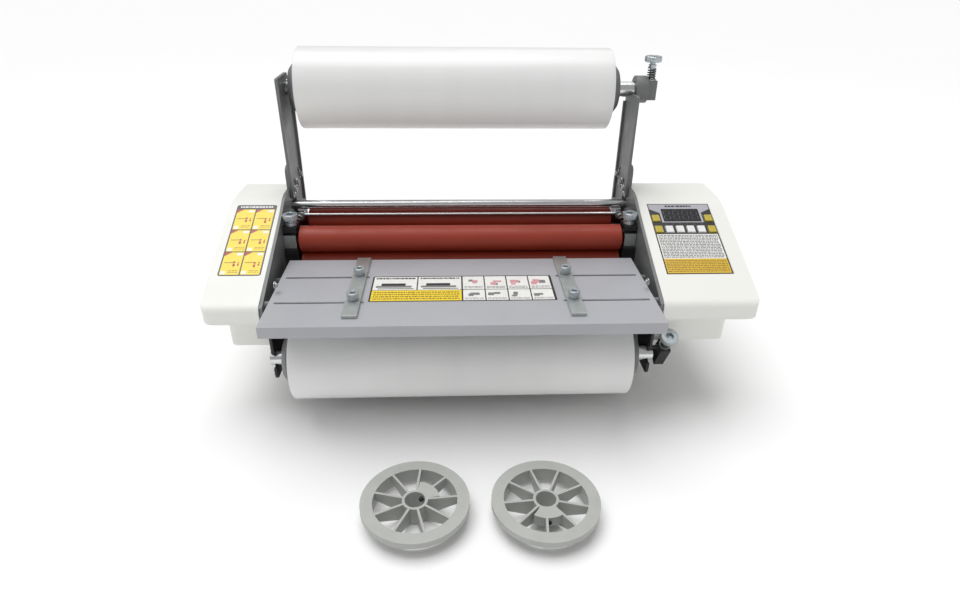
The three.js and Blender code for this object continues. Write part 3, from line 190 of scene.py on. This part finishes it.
def painted(name, colour, roughness, metallic=0.0, mottle=0.03, patch=0.05, grain=0.0009, depth=0.00003,
            stretch=(1, 1, 1), worn=None, worn_width=0.0006, coat=0.0, dust=None):
    """Paint, plating or moulded plastic: slight patches of tone, a fine grain, and wear along the edges."""
    made = Finish(name)
    patches = made.noise(patch, 4.0, stretch)
    base = made.ramp(patches, [(0.3, shade(colour, 1 - mottle)), (0.7, shade(colour, 1 + mottle))])
    if dust:
        speck = made.spread(made.noise(0.0012, 2.0), 0.0, 0.5, 0.62, 0.75)
        base = made.blend(speck, base, dust)
    if worn:
        base = made.blend(made.edges(worn_width), base, worn)
    made.link(base, made.shader.inputs["Base Color"])
    fine = made.noise(grain, 2.0, stretch)
    rough = made.spread(made.noise(patch * 0.4, 3.0, stretch), roughness * 0.88, min(1.0, roughness * 1.14))
    made.link(rough, made.shader.inputs["Roughness"])
    made.shader.inputs["Metallic"].default_value = metallic
    made.shader.inputs["Coat Weight"].default_value = coat
    made.bump(fine, depth)
    return made.material


def wound_film(name, node):
    """Clear film wound into a milky roll: faint bands round it, and winding rings on its ends."""
    made = Finish(name)
    axis = middle(node)
    shift = made.node("ShaderNodeVectorMath", operation="SUBTRACT")
    shift.inputs[1].default_value = axis
    made.link(made.where, shift.inputs[0])
    parts = made.node("ShaderNodeSeparateXYZ")
    made.link(shift.outputs["Vector"], parts.inputs["Vector"])
    flat = made.node("ShaderNodeCombineXYZ")
    made.link(parts.outputs["Y"], flat.inputs["Y"])
    made.link(parts.outputs["Z"], flat.inputs["Z"])
    radius = made.node("ShaderNodeVectorMath", operation="LENGTH")
    made.link(flat.outputs["Vector"], radius.inputs[0])
    rings = made.node("ShaderNodeCombineXYZ")
    made.link(parts.outputs["X"], rings.inputs["X"])
    made.link(radius.outputs["Value"], rings.inputs["Y"])
    bands = made.noise(0.05, 4.0, (1, 0.01, 1), rings.outputs["Vector"])
    base = made.ramp(bands, [(0.3, rgb(236, 237, 236)), (0.7, rgb(243, 243, 242))])
    made.link(base, made.shader.inputs["Base Color"])
    made.link(made.spread(bands, 0.3, 0.38), made.shader.inputs["Roughness"])
    made.shader.inputs["Coat Weight"].default_value = 0.25
    made.shader.inputs["Coat Roughness"].default_value = 0.2
    made.shader.inputs["Subsurface Weight"].default_value = 0.15
    made.shader.inputs["Subsurface Radius"].default_value = (0.004, 0.004, 0.004)
    made.bump(made.noise(0.04, 2.0, (1, 0.02, 1), rings.outputs["Vector"]), 0.00002)
    return made.material


def printed(name, colour, roughness=0.4, mottle=0.05):
    """Ink on a glossy laminated label, with a slight print grain."""
    return painted(name, colour, roughness, mottle=mottle, patch=0.004, grain=0.0004, depth=0.000008,
                   coat=0.3)


FINISHES = {
    "white_casing": painted("warm_white_powder_coat", rgb(240, 240, 235), 0.4, mottle=0.012, patch=0.09,
                            grain=0.0012, depth=0.00005, worn=rgb(222, 220, 212), dust=rgb(226, 224, 217)),
    "grey_paint": painted("mid_grey_paint", rgb(118, 120, 120), 0.48, 0.15, mottle=0.07, patch=0.03,
                          worn=rgb(168, 170, 170), dust=rgb(140, 141, 140)),
    "dark_paint": painted("near_black_paint", rgb(38, 38, 39), 0.42, 0.2, mottle=0.15, patch=0.02,
                          worn=rgb(120, 121, 120), worn_width=0.0008),
    "table_paint": painted("light_grey_powder_coat", rgb(176, 177, 182), 0.42, 0.1, mottle=0.02, patch=0.07,
                           grain=0.0008, depth=0.00004, worn=rgb(205, 206, 208), dust=rgb(160, 161, 165)),
    "zinc": painted("zinc_plate", rgb(188, 194, 192), 0.34, 0.75, mottle=0.08, patch=0.008, grain=0.0006,
                    depth=0.00002, worn=rgb(225, 228, 227)),
    "chrome": painted("ground_steel_bar", rgb(214, 215, 216), 0.2, 1.0, mottle=0.03, patch=0.006,
                      grain=0.0005, depth=0.000006, stretch=(1, 8, 8)),
    "silicone": painted("red_silicone_rubber", rgb(156, 52, 30), 0.5, mottle=0.07, patch=0.02, grain=0.0007,
                        depth=0.00005, stretch=(3, 1, 1), dust=rgb(130, 58, 44)),
    "black_plastic": painted("moulded_black_plastic", rgb(30, 30, 31), 0.46, mottle=0.12, patch=0.015,
                             grain=0.0005, depth=0.00005, worn=rgb(72, 72, 72)),
    "plug_plastic": painted("moulded_mid_grey_plastic", rgb(112, 114, 116), 0.46, mottle=0.06, patch=0.01,
                            grain=0.0006, depth=0.00004, worn=rgb(150, 152, 153)),
    "grey_plastic": painted("moulded_light_grey_plastic", rgb(176, 178, 174), 0.5, mottle=0.04, patch=0.015,
                            grain=0.0007, depth=0.00005, worn=rgb(205, 206, 202)),
    "rubber": painted("black_rubber", rgb(34, 34, 34), 0.85, mottle=0.12, patch=0.008, grain=0.0007,
                      depth=0.0001),
    "key_yellow": printed("yellow_green_key_cap", rgb(190, 170, 50), 0.42),
    "key_white": printed("white_key_cap", rgb(232, 233, 232), 0.42),
}

EDGE_RADIUS = {  # millimetres, per finish
    "white_casing": 0.5,
    "grey_paint": 0.4,
    "dark_paint": 0.4,
    "table_paint": 0.5,
    "zinc": 0.25,
    "grey_plastic": 0.4,
    "plug_plastic": 0.4,
    "key_yellow": 0.3,
    "key_white": 0.3,
    "rubber": 0.8,
    "black_plastic": 0.3,
}


# ---- Rounded edges ----

WELD_DISTANCE = 2e-6
FLAT_WITHIN = math.radians(0.6)
SHARP_FROM = math.radians(35)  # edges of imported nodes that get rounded
PIECE_SHARP_FROM = math.radians(40)  # the same, on pieces built here


def soften(piece, radius):
    """Welds, merges flat faces, rounds edges by this radius in millimetres, and shades round forms smooth."""
    for polygon in piece.data.polygons:
        polygon.use_smooth = True
    weld = piece.modifiers.new("weld", "WELD")
    weld.merge_threshold = WELD_DISTANCE
    flats = piece.modifiers.new("flats", "DECIMATE")
    flats.decimate_type = "DISSOLVE"
    flats.angle_limit = FLAT_WITHIN
    if radius:
        bevel = piece.modifiers.new("rounding", "BEVEL")
        bevel.width = radius * MM
        bevel.segments = 2
        bevel.limit_method = "ANGLE"
        bevel.angle_limit = SHARP_FROM
    normals = piece.modifiers.new("normals", "WEIGHTED_NORMAL")
    normals.weight = 100
    normals.keep_sharp = True


def finish_frame():
    """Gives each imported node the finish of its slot; a film roll gets its own, centred on its axis."""
    for part in frame["record"]["subparts"]:
        name, slot = part["node"], part["material_slot"]
        piece = frame["nodes"][name]
        finish = wound_film(name + "_finish", name) if slot == "film" else FINISHES[slot]
        piece.data.materials.clear()
        piece.data.materials.append(finish)
        soften(piece, EDGE_RADIUS.get(slot, 0))


# ---- Mesh building ----

class Shape:
    """Collects solids, in millimetres of a piece's own frame, into one mesh."""

    def __init__(self, matrix):
        self.matrix = matrix
        self.points = []
        self.faces = []
        self.looks = []

    def add(self, points, faces, look=0, within=None):
        start = len(self.points)
        inner = within or Matrix.Identity(4)
        self.points += [self.matrix @ (inner @ Vector(p)) for p in points]
        self.faces += [[start + i for i in face] for face in faces]
        self.looks += [look] * len(faces)

    def prism(self, outline, low, high, look=0, within=None):
        n = len(outline)
        points = [(x, y, low) for x, y in outline] + [(x, y, high) for x, y in outline]
        sides = [[i, (i + 1) % n, n + (i + 1) % n, n + i] for i in range(n)]
        self.add(points, [list(range(n))[::-1], list(range(n, 2 * n)), *sides], look, within)

    def plate(self, x, y, z, look=0, corner=0.0):
        """A flat plate between two x, two y and two z, with rounded corners."""
        self.prism(rounded(x, y, corner), z[0], z[1], look)

    def turned(self, profile, sides=48, look=0, within=None):
        """A profile of (radius, height, form) turned round Z; form is round, hex or knurl."""
        points = []
        for radius, height, *form in profile:
            for i in range(sides):
                angle = 2 * math.pi * i / sides
                reach = radius * FORMS[form[0] if form else "round"](angle)
                points.append((reach * math.cos(angle), reach * math.sin(angle), height))
        faces = []
        for ring in range(len(profile) - 1):
            for i in range(sides):
                a, b = ring * sides + i, ring * sides + (i + 1) % sides
                faces.append([a, b, b + sides, a + sides])
        self.add(points, faces, look, within)

    def spring(self, radius, wire, low, high, turns, look=0, within=None):
        """A coil spring of round wire, standing on Z."""
        steps = 20
        sides = 8
        count = int(turns * steps) + 1
        points = []
        for i in range(count):
            angle = 2 * math.pi * i / steps
            height = low + wire + (high - low - 2 * wire) * i / (count - 1)
            for j in range(sides):
                around = 2 * math.pi * j / sides
                reach = radius + wire * math.cos(around)
                lift = wire * math.sin(around)
                points.append((reach * math.cos(angle), reach * math.sin(angle), height + lift))
        faces = [list(range(sides))[::-1], list(range((count - 1) * sides, count * sides))]
        for i in range(count - 1):
            for j in range(sides):
                a, b = i * sides + j, i * sides + (j + 1) % sides
                faces.append([a, b, b + sides, a + sides])
        self.add(points, faces, look, within)

    def make(self, name, body, finishes, slot=None, radius=0.1):
        mesh = bpy.data.meshes.new(name)
        mesh.from_pydata(self.points, [], self.faces)
        for finish in finishes:
            mesh.materials.append(finish)
        mesh.polygons.foreach_set("material_index", self.looks)
        work = bmesh.new()
        work.from_mesh(mesh)
        bmesh.ops.remove_doubles(work, verts=work.verts, dist=1e-7)
        bmesh.ops.dissolve_degenerate(work, edges=work.edges, dist=1e-7)
        bmesh.ops.recalc_face_normals(work, faces=work.faces)
        work.to_mesh(mesh)
        work.free()
        piece = bpy.data.objects.new(name, mesh)
        bpy.context.scene.collection.objects.link(piece)
        for polygon in mesh.polygons:
            polygon.use_smooth = True
        if radius:
            bevel = piece.modifiers.new("rounding", "BEVEL")
            bevel.width = radius * MM
            bevel.segments = 2
            bevel.limit_method = "ANGLE"
            bevel.angle_limit = PIECE_SHARP_FROM
        normals = piece.modifiers.new("normals", "WEIGHTED_NORMAL")
        normals.weight = 100
        if body:
            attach(piece, body)
        return piece


KNURLS = 24
FORMS = {
    "round": lambda angle: 1.0,
    "hex": lambda angle: 1 / math.cos(angle % (math.pi / 3) - math.pi / 6),
    "knurl": lambda angle: 1 + 0.035 * math.cos(KNURLS * angle),
}


CORNER_STEPS = 6


def rounded(x, y, corner):
    """The outline of a rectangle with rounded corners."""
    if corner <= 0:
        return [(x[0], y[0]), (x[1], y[0]), (x[1], y[1]), (x[0], y[1])]
    centres = [(x[1] - corner, y[0] + corner, -90), (x[1] - corner, y[1] - corner, 0),
               (x[0] + corner, y[1] - corner, 90), (x[0] + corner, y[0] + corner, 180)]
    outline = []
    for cx, cy, start in centres:
        for i in range(CORNER_STEPS + 1):
            angle = math.radians(start + 90 / CORNER_STEPS * i)
            outline.append((cx + corner * math.cos(angle), cy + corner * math.sin(angle)))
    return outline


def disc(x, y, radius, count=20):
    return [
        (x + radius * math.cos(2 * math.pi * i / count), y + radius * math.sin(2 * math.pi * i / count))
        for i in range(count)
    ]


# ---- Labels: layers of print on a backing ----

INK = {
    "black": printed("label_black", rgb(28, 27, 28)),
    "white": printed("label_white", rgb(236, 236, 232)),
    "yellow": printed("label_yellow", rgb(246, 216, 34)),
    "gold": printed("label_gold", rgb(224, 184, 44)),
    "red": printed("label_red", rgb(170, 38, 24)),
    "grey": printed("label_grey", rgb(122, 122, 124)),
    "silver": printed("label_silver", rgb(178, 178, 186), 0.32),
    "pink": printed("label_pink", rgb(214, 150, 160)),
    "brown": printed("label_brown", rgb(140, 110, 30)),
    "display": printed("display_window", rgb(34, 34, 38), 0.15),
    "segment": printed("display_segments", rgb(44, 44, 49), 0.25),
}
INKS = list(INK)


class Label(Shape):
    """A printed label, with X across, Y up and Z out of the surface."""

    def ink(self, x, y, colour, layer, corner=0.0):
        self.plate(x, y, (self.floor, self.floor + layer * PAPER), INKS.index(colour), corner)

    def area(self, outline, colour, layer):
        self.prism(outline, self.floor, self.floor + layer * PAPER, INKS.index(colour))

    def marks(self, x, y, rows, colour, layer, seed, fill=0.5):
        """Rows of short bars in place of lettering."""
        draw = random.Random(seed)
        pitch = (y[1] - y[0]) / rows
        for row in range(rows):
            low = y[0] + pitch * (row + (1 - fill) / 2)
            start = x[0]
            while start < x[1] - 0.8:
                length = min(draw.uniform(0.9, 3.6), x[1] - start)
                self.ink((start, start + length), (low, low + pitch * fill), colour, layer)
                start += length + draw.uniform(0.4, 0.9)


def label(matrix, floor):
    made = Label(matrix)
    made.floor = floor
    return made


def finish_label(made, name, body):
    return made.make(name, body, [INK[i] for i in INKS], radius=0)


CLEAR_OF_CASING = 0.02  # between a label and what it is stuck on
LABELS_FROM_BEND = 7.0  # down the slope from the bend at its top to either print


def slope_place(casing, x):
    """X across, Y up the slope and Z out of a casing's slope, from the bend at its top."""
    mesh = frame["nodes"][casing].data
    faces = [f for f in mesh.polygons if f.normal.z > 0.85 and f.normal.y < -0.3]
    slope = max(faces, key=lambda f: f.area).normal
    parallel = [f for f in faces if f.normal.dot(slope) > 0.99999]
    outermost = max(parallel, key=lambda f: f.center.dot(slope))
    angle = math.atan2(-slope.y, slope.z)
    point = (outermost.center - MACHINE) / MM
    top = local_box(casing)[1].z
    bend_y = point.y + (top - point.z) / math.tan(angle)
    return place(x, bend_y, top, Matrix.Rotation(angle, 3, "X"))


def instruction_label():
    """A black-framed sheet of two by three yellow picture cells on the left casing's slope."""
    from_bend, height, width, inset = LABELS_FROM_BEND, 102.5, 42.3, 4.8
    inner = local_box("left_casing")[1].x
    made = label(slope_place("left_casing", inner - inset - width / 2), CLEAR_OF_CASING)
    half = width / 2
    made.ink((-half, half), (-from_bend - height, -from_bend), "black", 1, 2.5)
    made.marks((-half + 4, half - 4), (-from_bend - 4.8, -from_bend - 1.6), 1, "white", 2, 3, 0.7)
    header, border, gap = 7.0, 1.5, 1.3
    cell_width = (width - 2 * border - gap) / 2
    cell_height = (height - header - border - 2 * gap) / 3
    for column in range(2):
        for row in range(3):
            left = -half + border + column * (cell_width + gap)
            top = -from_bend - header - row * (cell_height + gap)
            picture_cell(made, left, top, cell_width, cell_height, 10 * row + column)
    finish_label(made, "instruction_label", "frame")


def picture_cell(made, left, top, width, height, seed):
    draw = random.Random(seed)
    right, low = left + width, top - height
    made.ink((left, right), (low, top), "yellow", 2)
    made.area([(left, top), (left, top - 5.5), (left + 7.0, top)], "red", 3)
    made.ink((right - 6.5, right - 1), (top - 4.5, top - 1), "white", 3, 0.8)
    made.ink((left + 0.8, left + 5.5), (low + 0.8, low + 5.0), "white", 3, 1.0)
    for i, reach in enumerate((2.3, 1.6)):
        x = left + width * (0.62 + 0.22 * i)
        y = low + height * (0.46 + draw.uniform(-0.03, 0.03))
        made.area(disc(x, y + reach, reach * 0.55), "red", 3)
        made.ink((x - reach * 0.5, x + reach * 0.5), (y - reach * 1.6, y + 0.2), "red", 3, 0.4)
    made.ink((left + 2, right - 8), (low + height * 0.52, low + height * 0.55), "brown", 3)
    made.marks((left + 8, right - 1.5), (low + 2.2, low + 6.4), 2, "brown", 3, seed + 50, 0.35)


PANEL_WIDTH = 69.0
PANEL_HEIGHT = 105.0
PANEL_FLOOR = -0.58  # the recess in the casing, less a hair
KEY_PITCH = 11.6
KEY_PLACES = [(i - 2.5) * KEY_PITCH for i in range(6)]
KEY_HALF_WIDTH = 4.6  # of the openings in the print
KEY_HALF_HEIGHT = 5.2
UPPER_KEYS = (-30.5 - KEY_HALF_HEIGHT, -30.5 + KEY_HALF_HEIGHT)
KEY_ROW = (-47.5 - KEY_HALF_HEIGHT, -47.5 + KEY_HALF_HEIGHT)
PANEL_EDGE = PANEL_WIDTH / 2
DISPLAY_FIELD = 23  # half the width of the silver field round the display


def control_panel():
    """The printed overlay round the keys and the display."""
    centre = (local_middle("key_row_3").x + local_middle("key_row_4").x) / 2
    made = label(slope_place("right_casing", centre), PANEL_FLOOR)
    panel_ground(made)
    panel_header(made)
    panel_text(made)
    finish_label(made, "control_panel_overlay", "frame")


def panel_ground(made):
    """Black over the whole panel but for an opening round each key."""
    across = (-PANEL_EDGE, PANEL_EDGE)
    made.ink(across, (UPPER_KEYS[1], -LABELS_FROM_BEND), "black", 1)
    made.ink(across, (KEY_ROW[1], UPPER_KEYS[0]), "black", 1)
    made.ink(across, (-LABELS_FROM_BEND - PANEL_HEIGHT, KEY_ROW[0]), "black", 1)
    outer = KEY_PLACES[-1] + KEY_HALF_WIDTH
    inner = KEY_PLACES[-1] - KEY_HALF_WIDTH
    for x in ((-PANEL_EDGE, -outer), (-inner, inner), (outer, PANEL_EDGE)):
        made.ink(x, UPPER_KEYS, "black", 1)
    openings = [x + side for x in KEY_PLACES for side in (-KEY_HALF_WIDTH, KEY_HALF_WIDTH)]
    edges = [-PANEL_EDGE, *openings, PANEL_EDGE]
    for left, right in zip(edges[::2], edges[1::2]):
        made.ink((left, right), KEY_ROW, "black", 1)


def panel_header(made):
    """A silver field with slanted shoulders, and the display in it."""
    edge, field = PANEL_EDGE - 1, DISPLAY_FIELD
    shoulder, waist, low = -15.5, -21.5, UPPER_KEYS[1] + 0.2
    top = -LABELS_FROM_BEND - 1
    header = [(-edge, top), (-edge, shoulder), (-field, waist), (-field, low),
              (field, low), (field, waist), (edge, shoulder), (edge, top)]
    made.area(header, "silver", 2)
    made.ink((-field, field), (-36.5, low), "silver", 2)
    made.marks((-15, 14), (-12.8, -9.2), 1, "black", 3, 5, 0.7)
    made.ink((-20.8, 20.8), (-35.2, -15.2), "display", 3, 0.6)
    for digit in range(4):
        seven_segments(made, -15.3 + digit * 10.2, -25.2)
    for i in range(6):
        made.area(disc(-20 + 8 * i, -39.2, 0.55, 10), "grey", 2)


def panel_text(made):
    """A white field of small marks over a gold one."""
    edge, margin = PANEL_EDGE - 1.4, 1.2
    text_top, text_low = KEY_ROW[0] - 1.8, -90.3
    gold_low = -LABELS_FROM_BEND - PANEL_HEIGHT + 1.6
    made.ink((-edge, edge), (text_low, text_top), "white", 2)
    made.marks((-edge + margin, edge - margin), (text_low + 1, text_top - 1), 15, "grey", 3, 21, 0.62)
    made.ink((-edge, edge), (gold_low, text_low), "gold", 2)
    made.marks((-edge + margin, edge - margin), (gold_low + 1.4, text_low - 1.4), 7, "brown", 3, 22, 0.5)


def seven_segments(made, x, y):
    """One unlit figure of the display."""
    wide, tall, bar = 3.1, 6.6, 1.1
    for dy in (-tall, 0, tall):
        made.ink((x - wide + 0.4, x + wide - 0.4), (y + dy - bar / 2, y + dy + bar / 2), "segment", 4)
    for dx in (-wide, wide):
        for dy in (-tall / 2, tall / 2):
            low, high = y + dy - tall / 2 + 1, y + dy + tall / 2 - 1
            made.ink((x + dx - bar / 2, x + dx + bar / 2), (low, high), "segment", 4)


def table_label():
    """A strip of pictures across the middle of the feed table."""
    low, high = local_box("feed_table")
    width, height, back = 180.5, 53.5, 40.6
    made = label(place(-0.75, high.y - back, high.z), CLEAR_OF_CASING)
    half = width / 2
    made.ink((-half, half), (-height, 0), "black", 1, 1.5)
    left, split, right = -half + 1.6, -1.5, half - 1.6
    band = -0.56 * height
    photo_strip(made, left, split, band, -1.6)
    made.ink((left, split), (-height + 1.6, band - 0.9), "yellow", 2)
    made.marks((left + 2, split - 2), (-height + 3.4, band - 3), 4, "brown", 3, 31, 0.5)
    columns = 4
    step = (right - split - 1.2) / columns
    for column in range(columns):
        for row, (bottom, top) in enumerate(((band + 0.6, -1.6), (-height + 1.6, band - 0.6))):
            start = split + 1.6 + column * step
            picture(made, (start, start + step - 1.2), (bottom, top), 40 + 2 * column + row, row)
    finish_label(made, "table_label", "table")


def photo_strip(made, left, right, low, high):
    middle_x = (left + right) / 2
    for x in ((left, middle_x - 0.6), (middle_x + 0.6, right)):
        made.ink(x, (low, high), "white", 2)
        made.marks((x[0] + 2, x[1] - 2), (high - 5.5, high - 1.5), 1, "black", 3, int(x[0]), 0.7)
        made.ink((x[0] + 3, x[1] - 5), (low + 5, low + 9), "grey", 3, 1.0)
        made.ink((x[0] + 8, x[1] - 11), (low + 9, low + 14), "black", 3, 1.0)
        made.ink((x[0] + 5, x[1] - 3), (low + 2, low + 3.4), "black", 3)


def picture(made, x, y, seed, row):
    draw = random.Random(seed)
    made.ink(x, y, "white", 2)
    wide, tall = x[1] - x[0], y[1] - y[0]
    colour = "pink" if row == 0 else "grey"
    for i in range(3):
        left = x[0] + wide * draw.uniform(0.08, 0.5)
        low = y[0] + tall * draw.uniform(0.3, 0.62)
        made.ink((left, left + wide * draw.uniform(0.2, 0.42)), (low, low + tall * draw.uniform(0.12, 0.26)),
                 colour if i else "grey", 3 + i, 0.8)
    made.marks((x[0] + 1.4, x[1] - 1.4), (y[0] + 1.2, y[0] + tall * 0.24), 2, "grey", 3, seed, 0.5)


# ---- Knobs, screws and springs ----

def socket_head(radius, low, top, socket, deep, form="knurl"):
    """Profile points of a round head, from its underside up and into the socket in its top."""
    edge = 0.7
    return [
        (radius - edge, low), (radius, low + edge, form), (radius, top - edge, form), (radius - edge, top),
        (socket + 0.5, top), (socket, top - 0.5, "hex"), (socket, top - deep, "hex"), (0, top - deep),
    ]


KNOB_SIDES = 96


def pressure_knobs():
    for side in ("left", "right"):
        node = f"{side}_pressure_knob"
        low, high = local_box(node)
        centre = local_middle(node)
        radius = (high.x - low.x) / 2
        top = high.z - low.z
        collar = top - 12.7
        profile = [
            (0, 0), (3, 0), (3, collar), (6, collar),
            (6, collar + 3.5), (4.5, collar + 3.9), (4.5, collar + 5.6),
            *socket_head(radius - 0.05, collar + 6, top, 3.4, 4.5),
        ]
        made = Shape(place(centre.x, centre.y, low.z))
        made.turned(profile, KNOB_SIDES)
        knob = made.make(f"{side}_pressure_screw", f"{side}_pressure", [KNOB_PLATE], "zinc", 0.12)
        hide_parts(node)


def guide_knobs():
    for side in ("left", "right"):
        for row in ("rear", "front"):
            node = f"{side}_{row}_guide_knob"
            low, high = local_box(node)
            centre = local_middle(node)
            radius = (high.x - low.x) / 2
            top = high.z - low.z
            head = top - 7.2
            profile = [
                (0, 0), (1.4, 0), (1.4, head), (radius - 1, head), (radius - 1, head + 2.2),
                *socket_head(radius - 0.05, head + 2.4, top, 2.4, 3.0),
            ]
            made = Shape(place(centre.x, centre.y, low.z))
            made.turned(profile, KNOB_SIDES)
            knob = made.make(f"{side}_{row}_thumb_screw", f"{side}_{row}_thumb", [KNOB_PLATE], "zinc", 0.12)
            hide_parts(node)


def brake_place(node, mandrel, tilt):
    """Z along a brake's screw, from the mandrel's axis."""
    axis = local_middle(mandrel)
    screw_x = local_middle(node).x
    return place(screw_x, axis.y, axis.z, Matrix.Rotation(tilt, 3, "X"))


LOWER_BRAKE_TILT = math.radians(30)


def brake_screws():
    """The two brake screws, each with a washer and a spring between the block and the collar."""
    brakes = (
        ("upper_brake", "upper_mandrel", 0.0, 10.0),
        ("lower_brake", "lower_mandrel", LOWER_BRAKE_TILT, 16.0),
    )
    for body, mandrel, tilt, block_top in brakes:
        node = f"{body}_knob"
        matrix = brake_place(node, mandrel, tilt)
        shaft, collar, top, radius = 2.5, 23.5, 35.0, 8.95
        profile = [
            (0, block_top - 14), (shaft, block_top - 14), (shaft, collar), (4.2, collar), (4.2, collar + 3),
            (shaft + 0.5, collar + 3), (shaft + 0.5, top - 6.2),
            *socket_head(radius, top - 6, top, 3.6, 4.5),
        ]
        made = Shape(matrix)
        made.turned(profile, KNOB_SIDES)
        knob = made.make(f"{body}_screw", body, [KNOB_PLATE], "zinc", 0.12)
        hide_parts(node)
        parts = Shape(matrix)
        seat, washer_top = block_top + 0.1, block_top + 1.1
        parts.turned([(3.0, seat), (6.0, seat), (6.0, washer_top), (3.0, washer_top), (3.0, seat)], 48)
        parts.spring(4.2, 0.65, washer_top, collar - 0.2, 4.5 if block_top < 12 else 3.0, 1)
        parts.make(f"{body}_spring", "frame", [FINISHES["zinc"], FINISHES["dark_paint"]], "zinc", 0.05)


def cap_screw(made, within, radius, tall, look=0):
    """A hexagon-socket cap screw that stands on Z = 0 of a place."""
    made.turned([(0, 0), *socket_head(radius, 0, tall, radius * 0.45, tall * 0.6, "round")], 48, look, within)


def washer(made, within, outer, inner, tall, look=0):
    made.turned([(inner, 0), (outer, 0), (outer, tall), (inner, tall), (inner, 0)], 40, look, within)


def screw_at(made, spot, turn, radius, tall, with_washer=True):
    base = Matrix.Translation(Vector(spot)) @ turn.to_4x4()
    lift = 0.8 if with_washer else 0.0
    if with_washer:
        washer(made, base, radius * 1.55, radius * 0.4, lift)
    cap_screw(made, base @ Matrix.Translation((0, 0, lift)), radius, tall)


def frame_screws():
    """Screws on the faces that look inwards: the side plates', the film arms' and the peel bar's clamps'."""
    for sign, side in ((-1, "left"), (1, "right")):
        inward = ALONG_X if sign < 0 else ALONG_MINUS_X
        made = Shape(place(0, 0, 0))
        plate_low, plate_high = local_box(f"{side}_side_plate")
        inner = plate_low.x if sign > 0 else plate_high.x
        for y, z in ((-97, 146), (-110, 131)):
            screw_at(made, (inner, y, z), inward, 2.4, 2.2)
        arm_low, arm_high = local_box(f"{side}_film_arm")
        web = sign * (min(abs(arm_low.x), abs(arm_high.x)) + 2.5)
        pivot_y, pivot_z = 54.0, 182.0
        for reach, degrees in ((36, 27), (17, 48)):
            y = pivot_y + reach * math.cos(math.radians(degrees))
            z = pivot_z + reach * math.sin(math.radians(degrees))
            screw_at(made, (web, y, z), inward, 3.0, 3.0)
        screw_at(made, (web, pivot_y, pivot_z + 8), inward, 3.0, 2.4)
        bar_low, bar_high = local_box("peel_bar")
        clamp_x = (bar_high.x if sign > 0 else bar_low.x) - sign * 9
        screw_at(made, (clamp_x, bar_low.y, (bar_low.z + bar_high.z) / 2), ALONG_MINUS_Y, 3.2, 3.0)
        made.make(f"{side}_plate_screws", "frame", [FINISHES["zinc"]], "zinc", 0.08)


def adapter_screws():
    """A small black grub screw through each adapter's lug into its bore."""
    for side, degrees in (("left", 45), ("right", 270)):
        node = f"core_adapter_{side}"
        low, high = local_box(node)
        centre = local_middle(node)
        angle = math.radians(degrees)
        out = Vector((math.cos(angle), math.sin(angle), 0))
        turn = out.to_track_quat("Z", "Y").to_matrix()
        made = Shape(place(centre.x, centre.y, high.z - 5, turn))
        made.turned([(0, 5.5), (1.5, 5.5), (1.9, 6.0), (1.9, 21.4), (2.4, 21.8), (2.4, 22.6), (2.1, 22.9),
                     (1.25, 22.9, "hex"), (1.2, 21.6, "hex"), (0, 21.6)], 48)
        made.make(f"{side}_adapter_screw", f"adapter_{side}", [FINISHES["dark_paint"]], "dark_paint", 0)


KNOB_PLATE = painted("blue_zinc_plate", rgb(186, 194, 198), 0.3, 0.7, mottle=0.06, patch=0.006, grain=0.0005,
                     depth=0.00002, worn=rgb(226, 230, 232))


# ---- Studio ----

def look_along(pitch, yaw, roll):
    """A camera's turn from degrees down, degrees to the right, and degrees of roll."""
    down, right_turn, lean = map(math.radians, (pitch, yaw, roll))
    level = Vector((math.cos(right_turn), -math.sin(right_turn), 0))
    ahead = Vector((math.sin(right_turn), math.cos(right_turn), 0))
    forward = ahead * math.cos(down) - Vector((0, 0, math.sin(down)))
    upward = level.cross(forward)
    right = level * math.cos(lean) + upward * math.sin(lean)
    up = upward * math.cos(lean) - level * math.sin(lean)
    return Matrix((right, up, -forward)).transposed()


def studio():
    scene = bpy.context.scene
    data = bpy.data.cameras.new("camera")
    data.lens = 24.06
    data.sensor_width = 36.0
    data.shift_x = -0.0018
    data.shift_y = 0.0029
    data.clip_start = 0.01
    data.clip_end = 50.0
    camera = bpy.data.objects.new("camera", data)
    camera.matrix_world = Matrix.Translation(at(-10.4, -653.2, 431.6)) @ look_along(28.9, 2.9, 0.8).to_4x4()
    scene.collection.objects.link(camera)
    scene.camera = camera

    floor = Shape(place(0, 0, -0.2))
    floor.plate((-14000, 14000), (-14000, 14000), (-5, 0), corner=1500)
    pale = painted("pale_floor", rgb(250, 250, 250), 0.9, mottle=0.003, patch=0.5, depth=0.0)
    floor.make("studio_floor", None, [pale], radius=0)

    world = bpy.data.worlds.new("studio")
    world.use_nodes = True
    world.node_tree.nodes["Background"].inputs["Color"].default_value = (1.0, 1.0, 1.0, 1.0)
    world.node_tree.nodes["Background"].inputs["Strength"].default_value = 0.42
    scene.world = world
    scene.view_settings.view_transform = "Standard"

    overhead = bpy.data.lights.new("overhead", "SUN")
    overhead.energy = 2.0
    overhead.angle = math.radians(50)
    sky = bpy.data.objects.new("overhead", overhead)
    sky.rotation_euler = (math.radians(-8), math.radians(-10), 0)
    scene.collection.objects.link(sky)

    target = at(0, 0, 150)
    for name, spot, power, size in (
        ("key", (-900, -900, 1500), 1.6, 0.9),
        ("back", (400, 1300, 1700), 2.4, 0.9),
    ):
        light = bpy.data.lights.new(name, "AREA")
        light.energy = power
        light.size = size
        lamp = bpy.data.objects.new(name, light)
        lamp.location = at(*spot)
        lamp.rotation_mode = "QUATERNION"
        lamp.rotation_quaternion = (target - lamp.location).to_track_quat("-Z", "Y")
        scene.collection.objects.link(lamp)


studio()
finish_frame()
instruction_label()
control_panel()
table_label()
pressure_knobs()
guide_knobs()
brake_screws()
frame_screws()
adapter_screws()
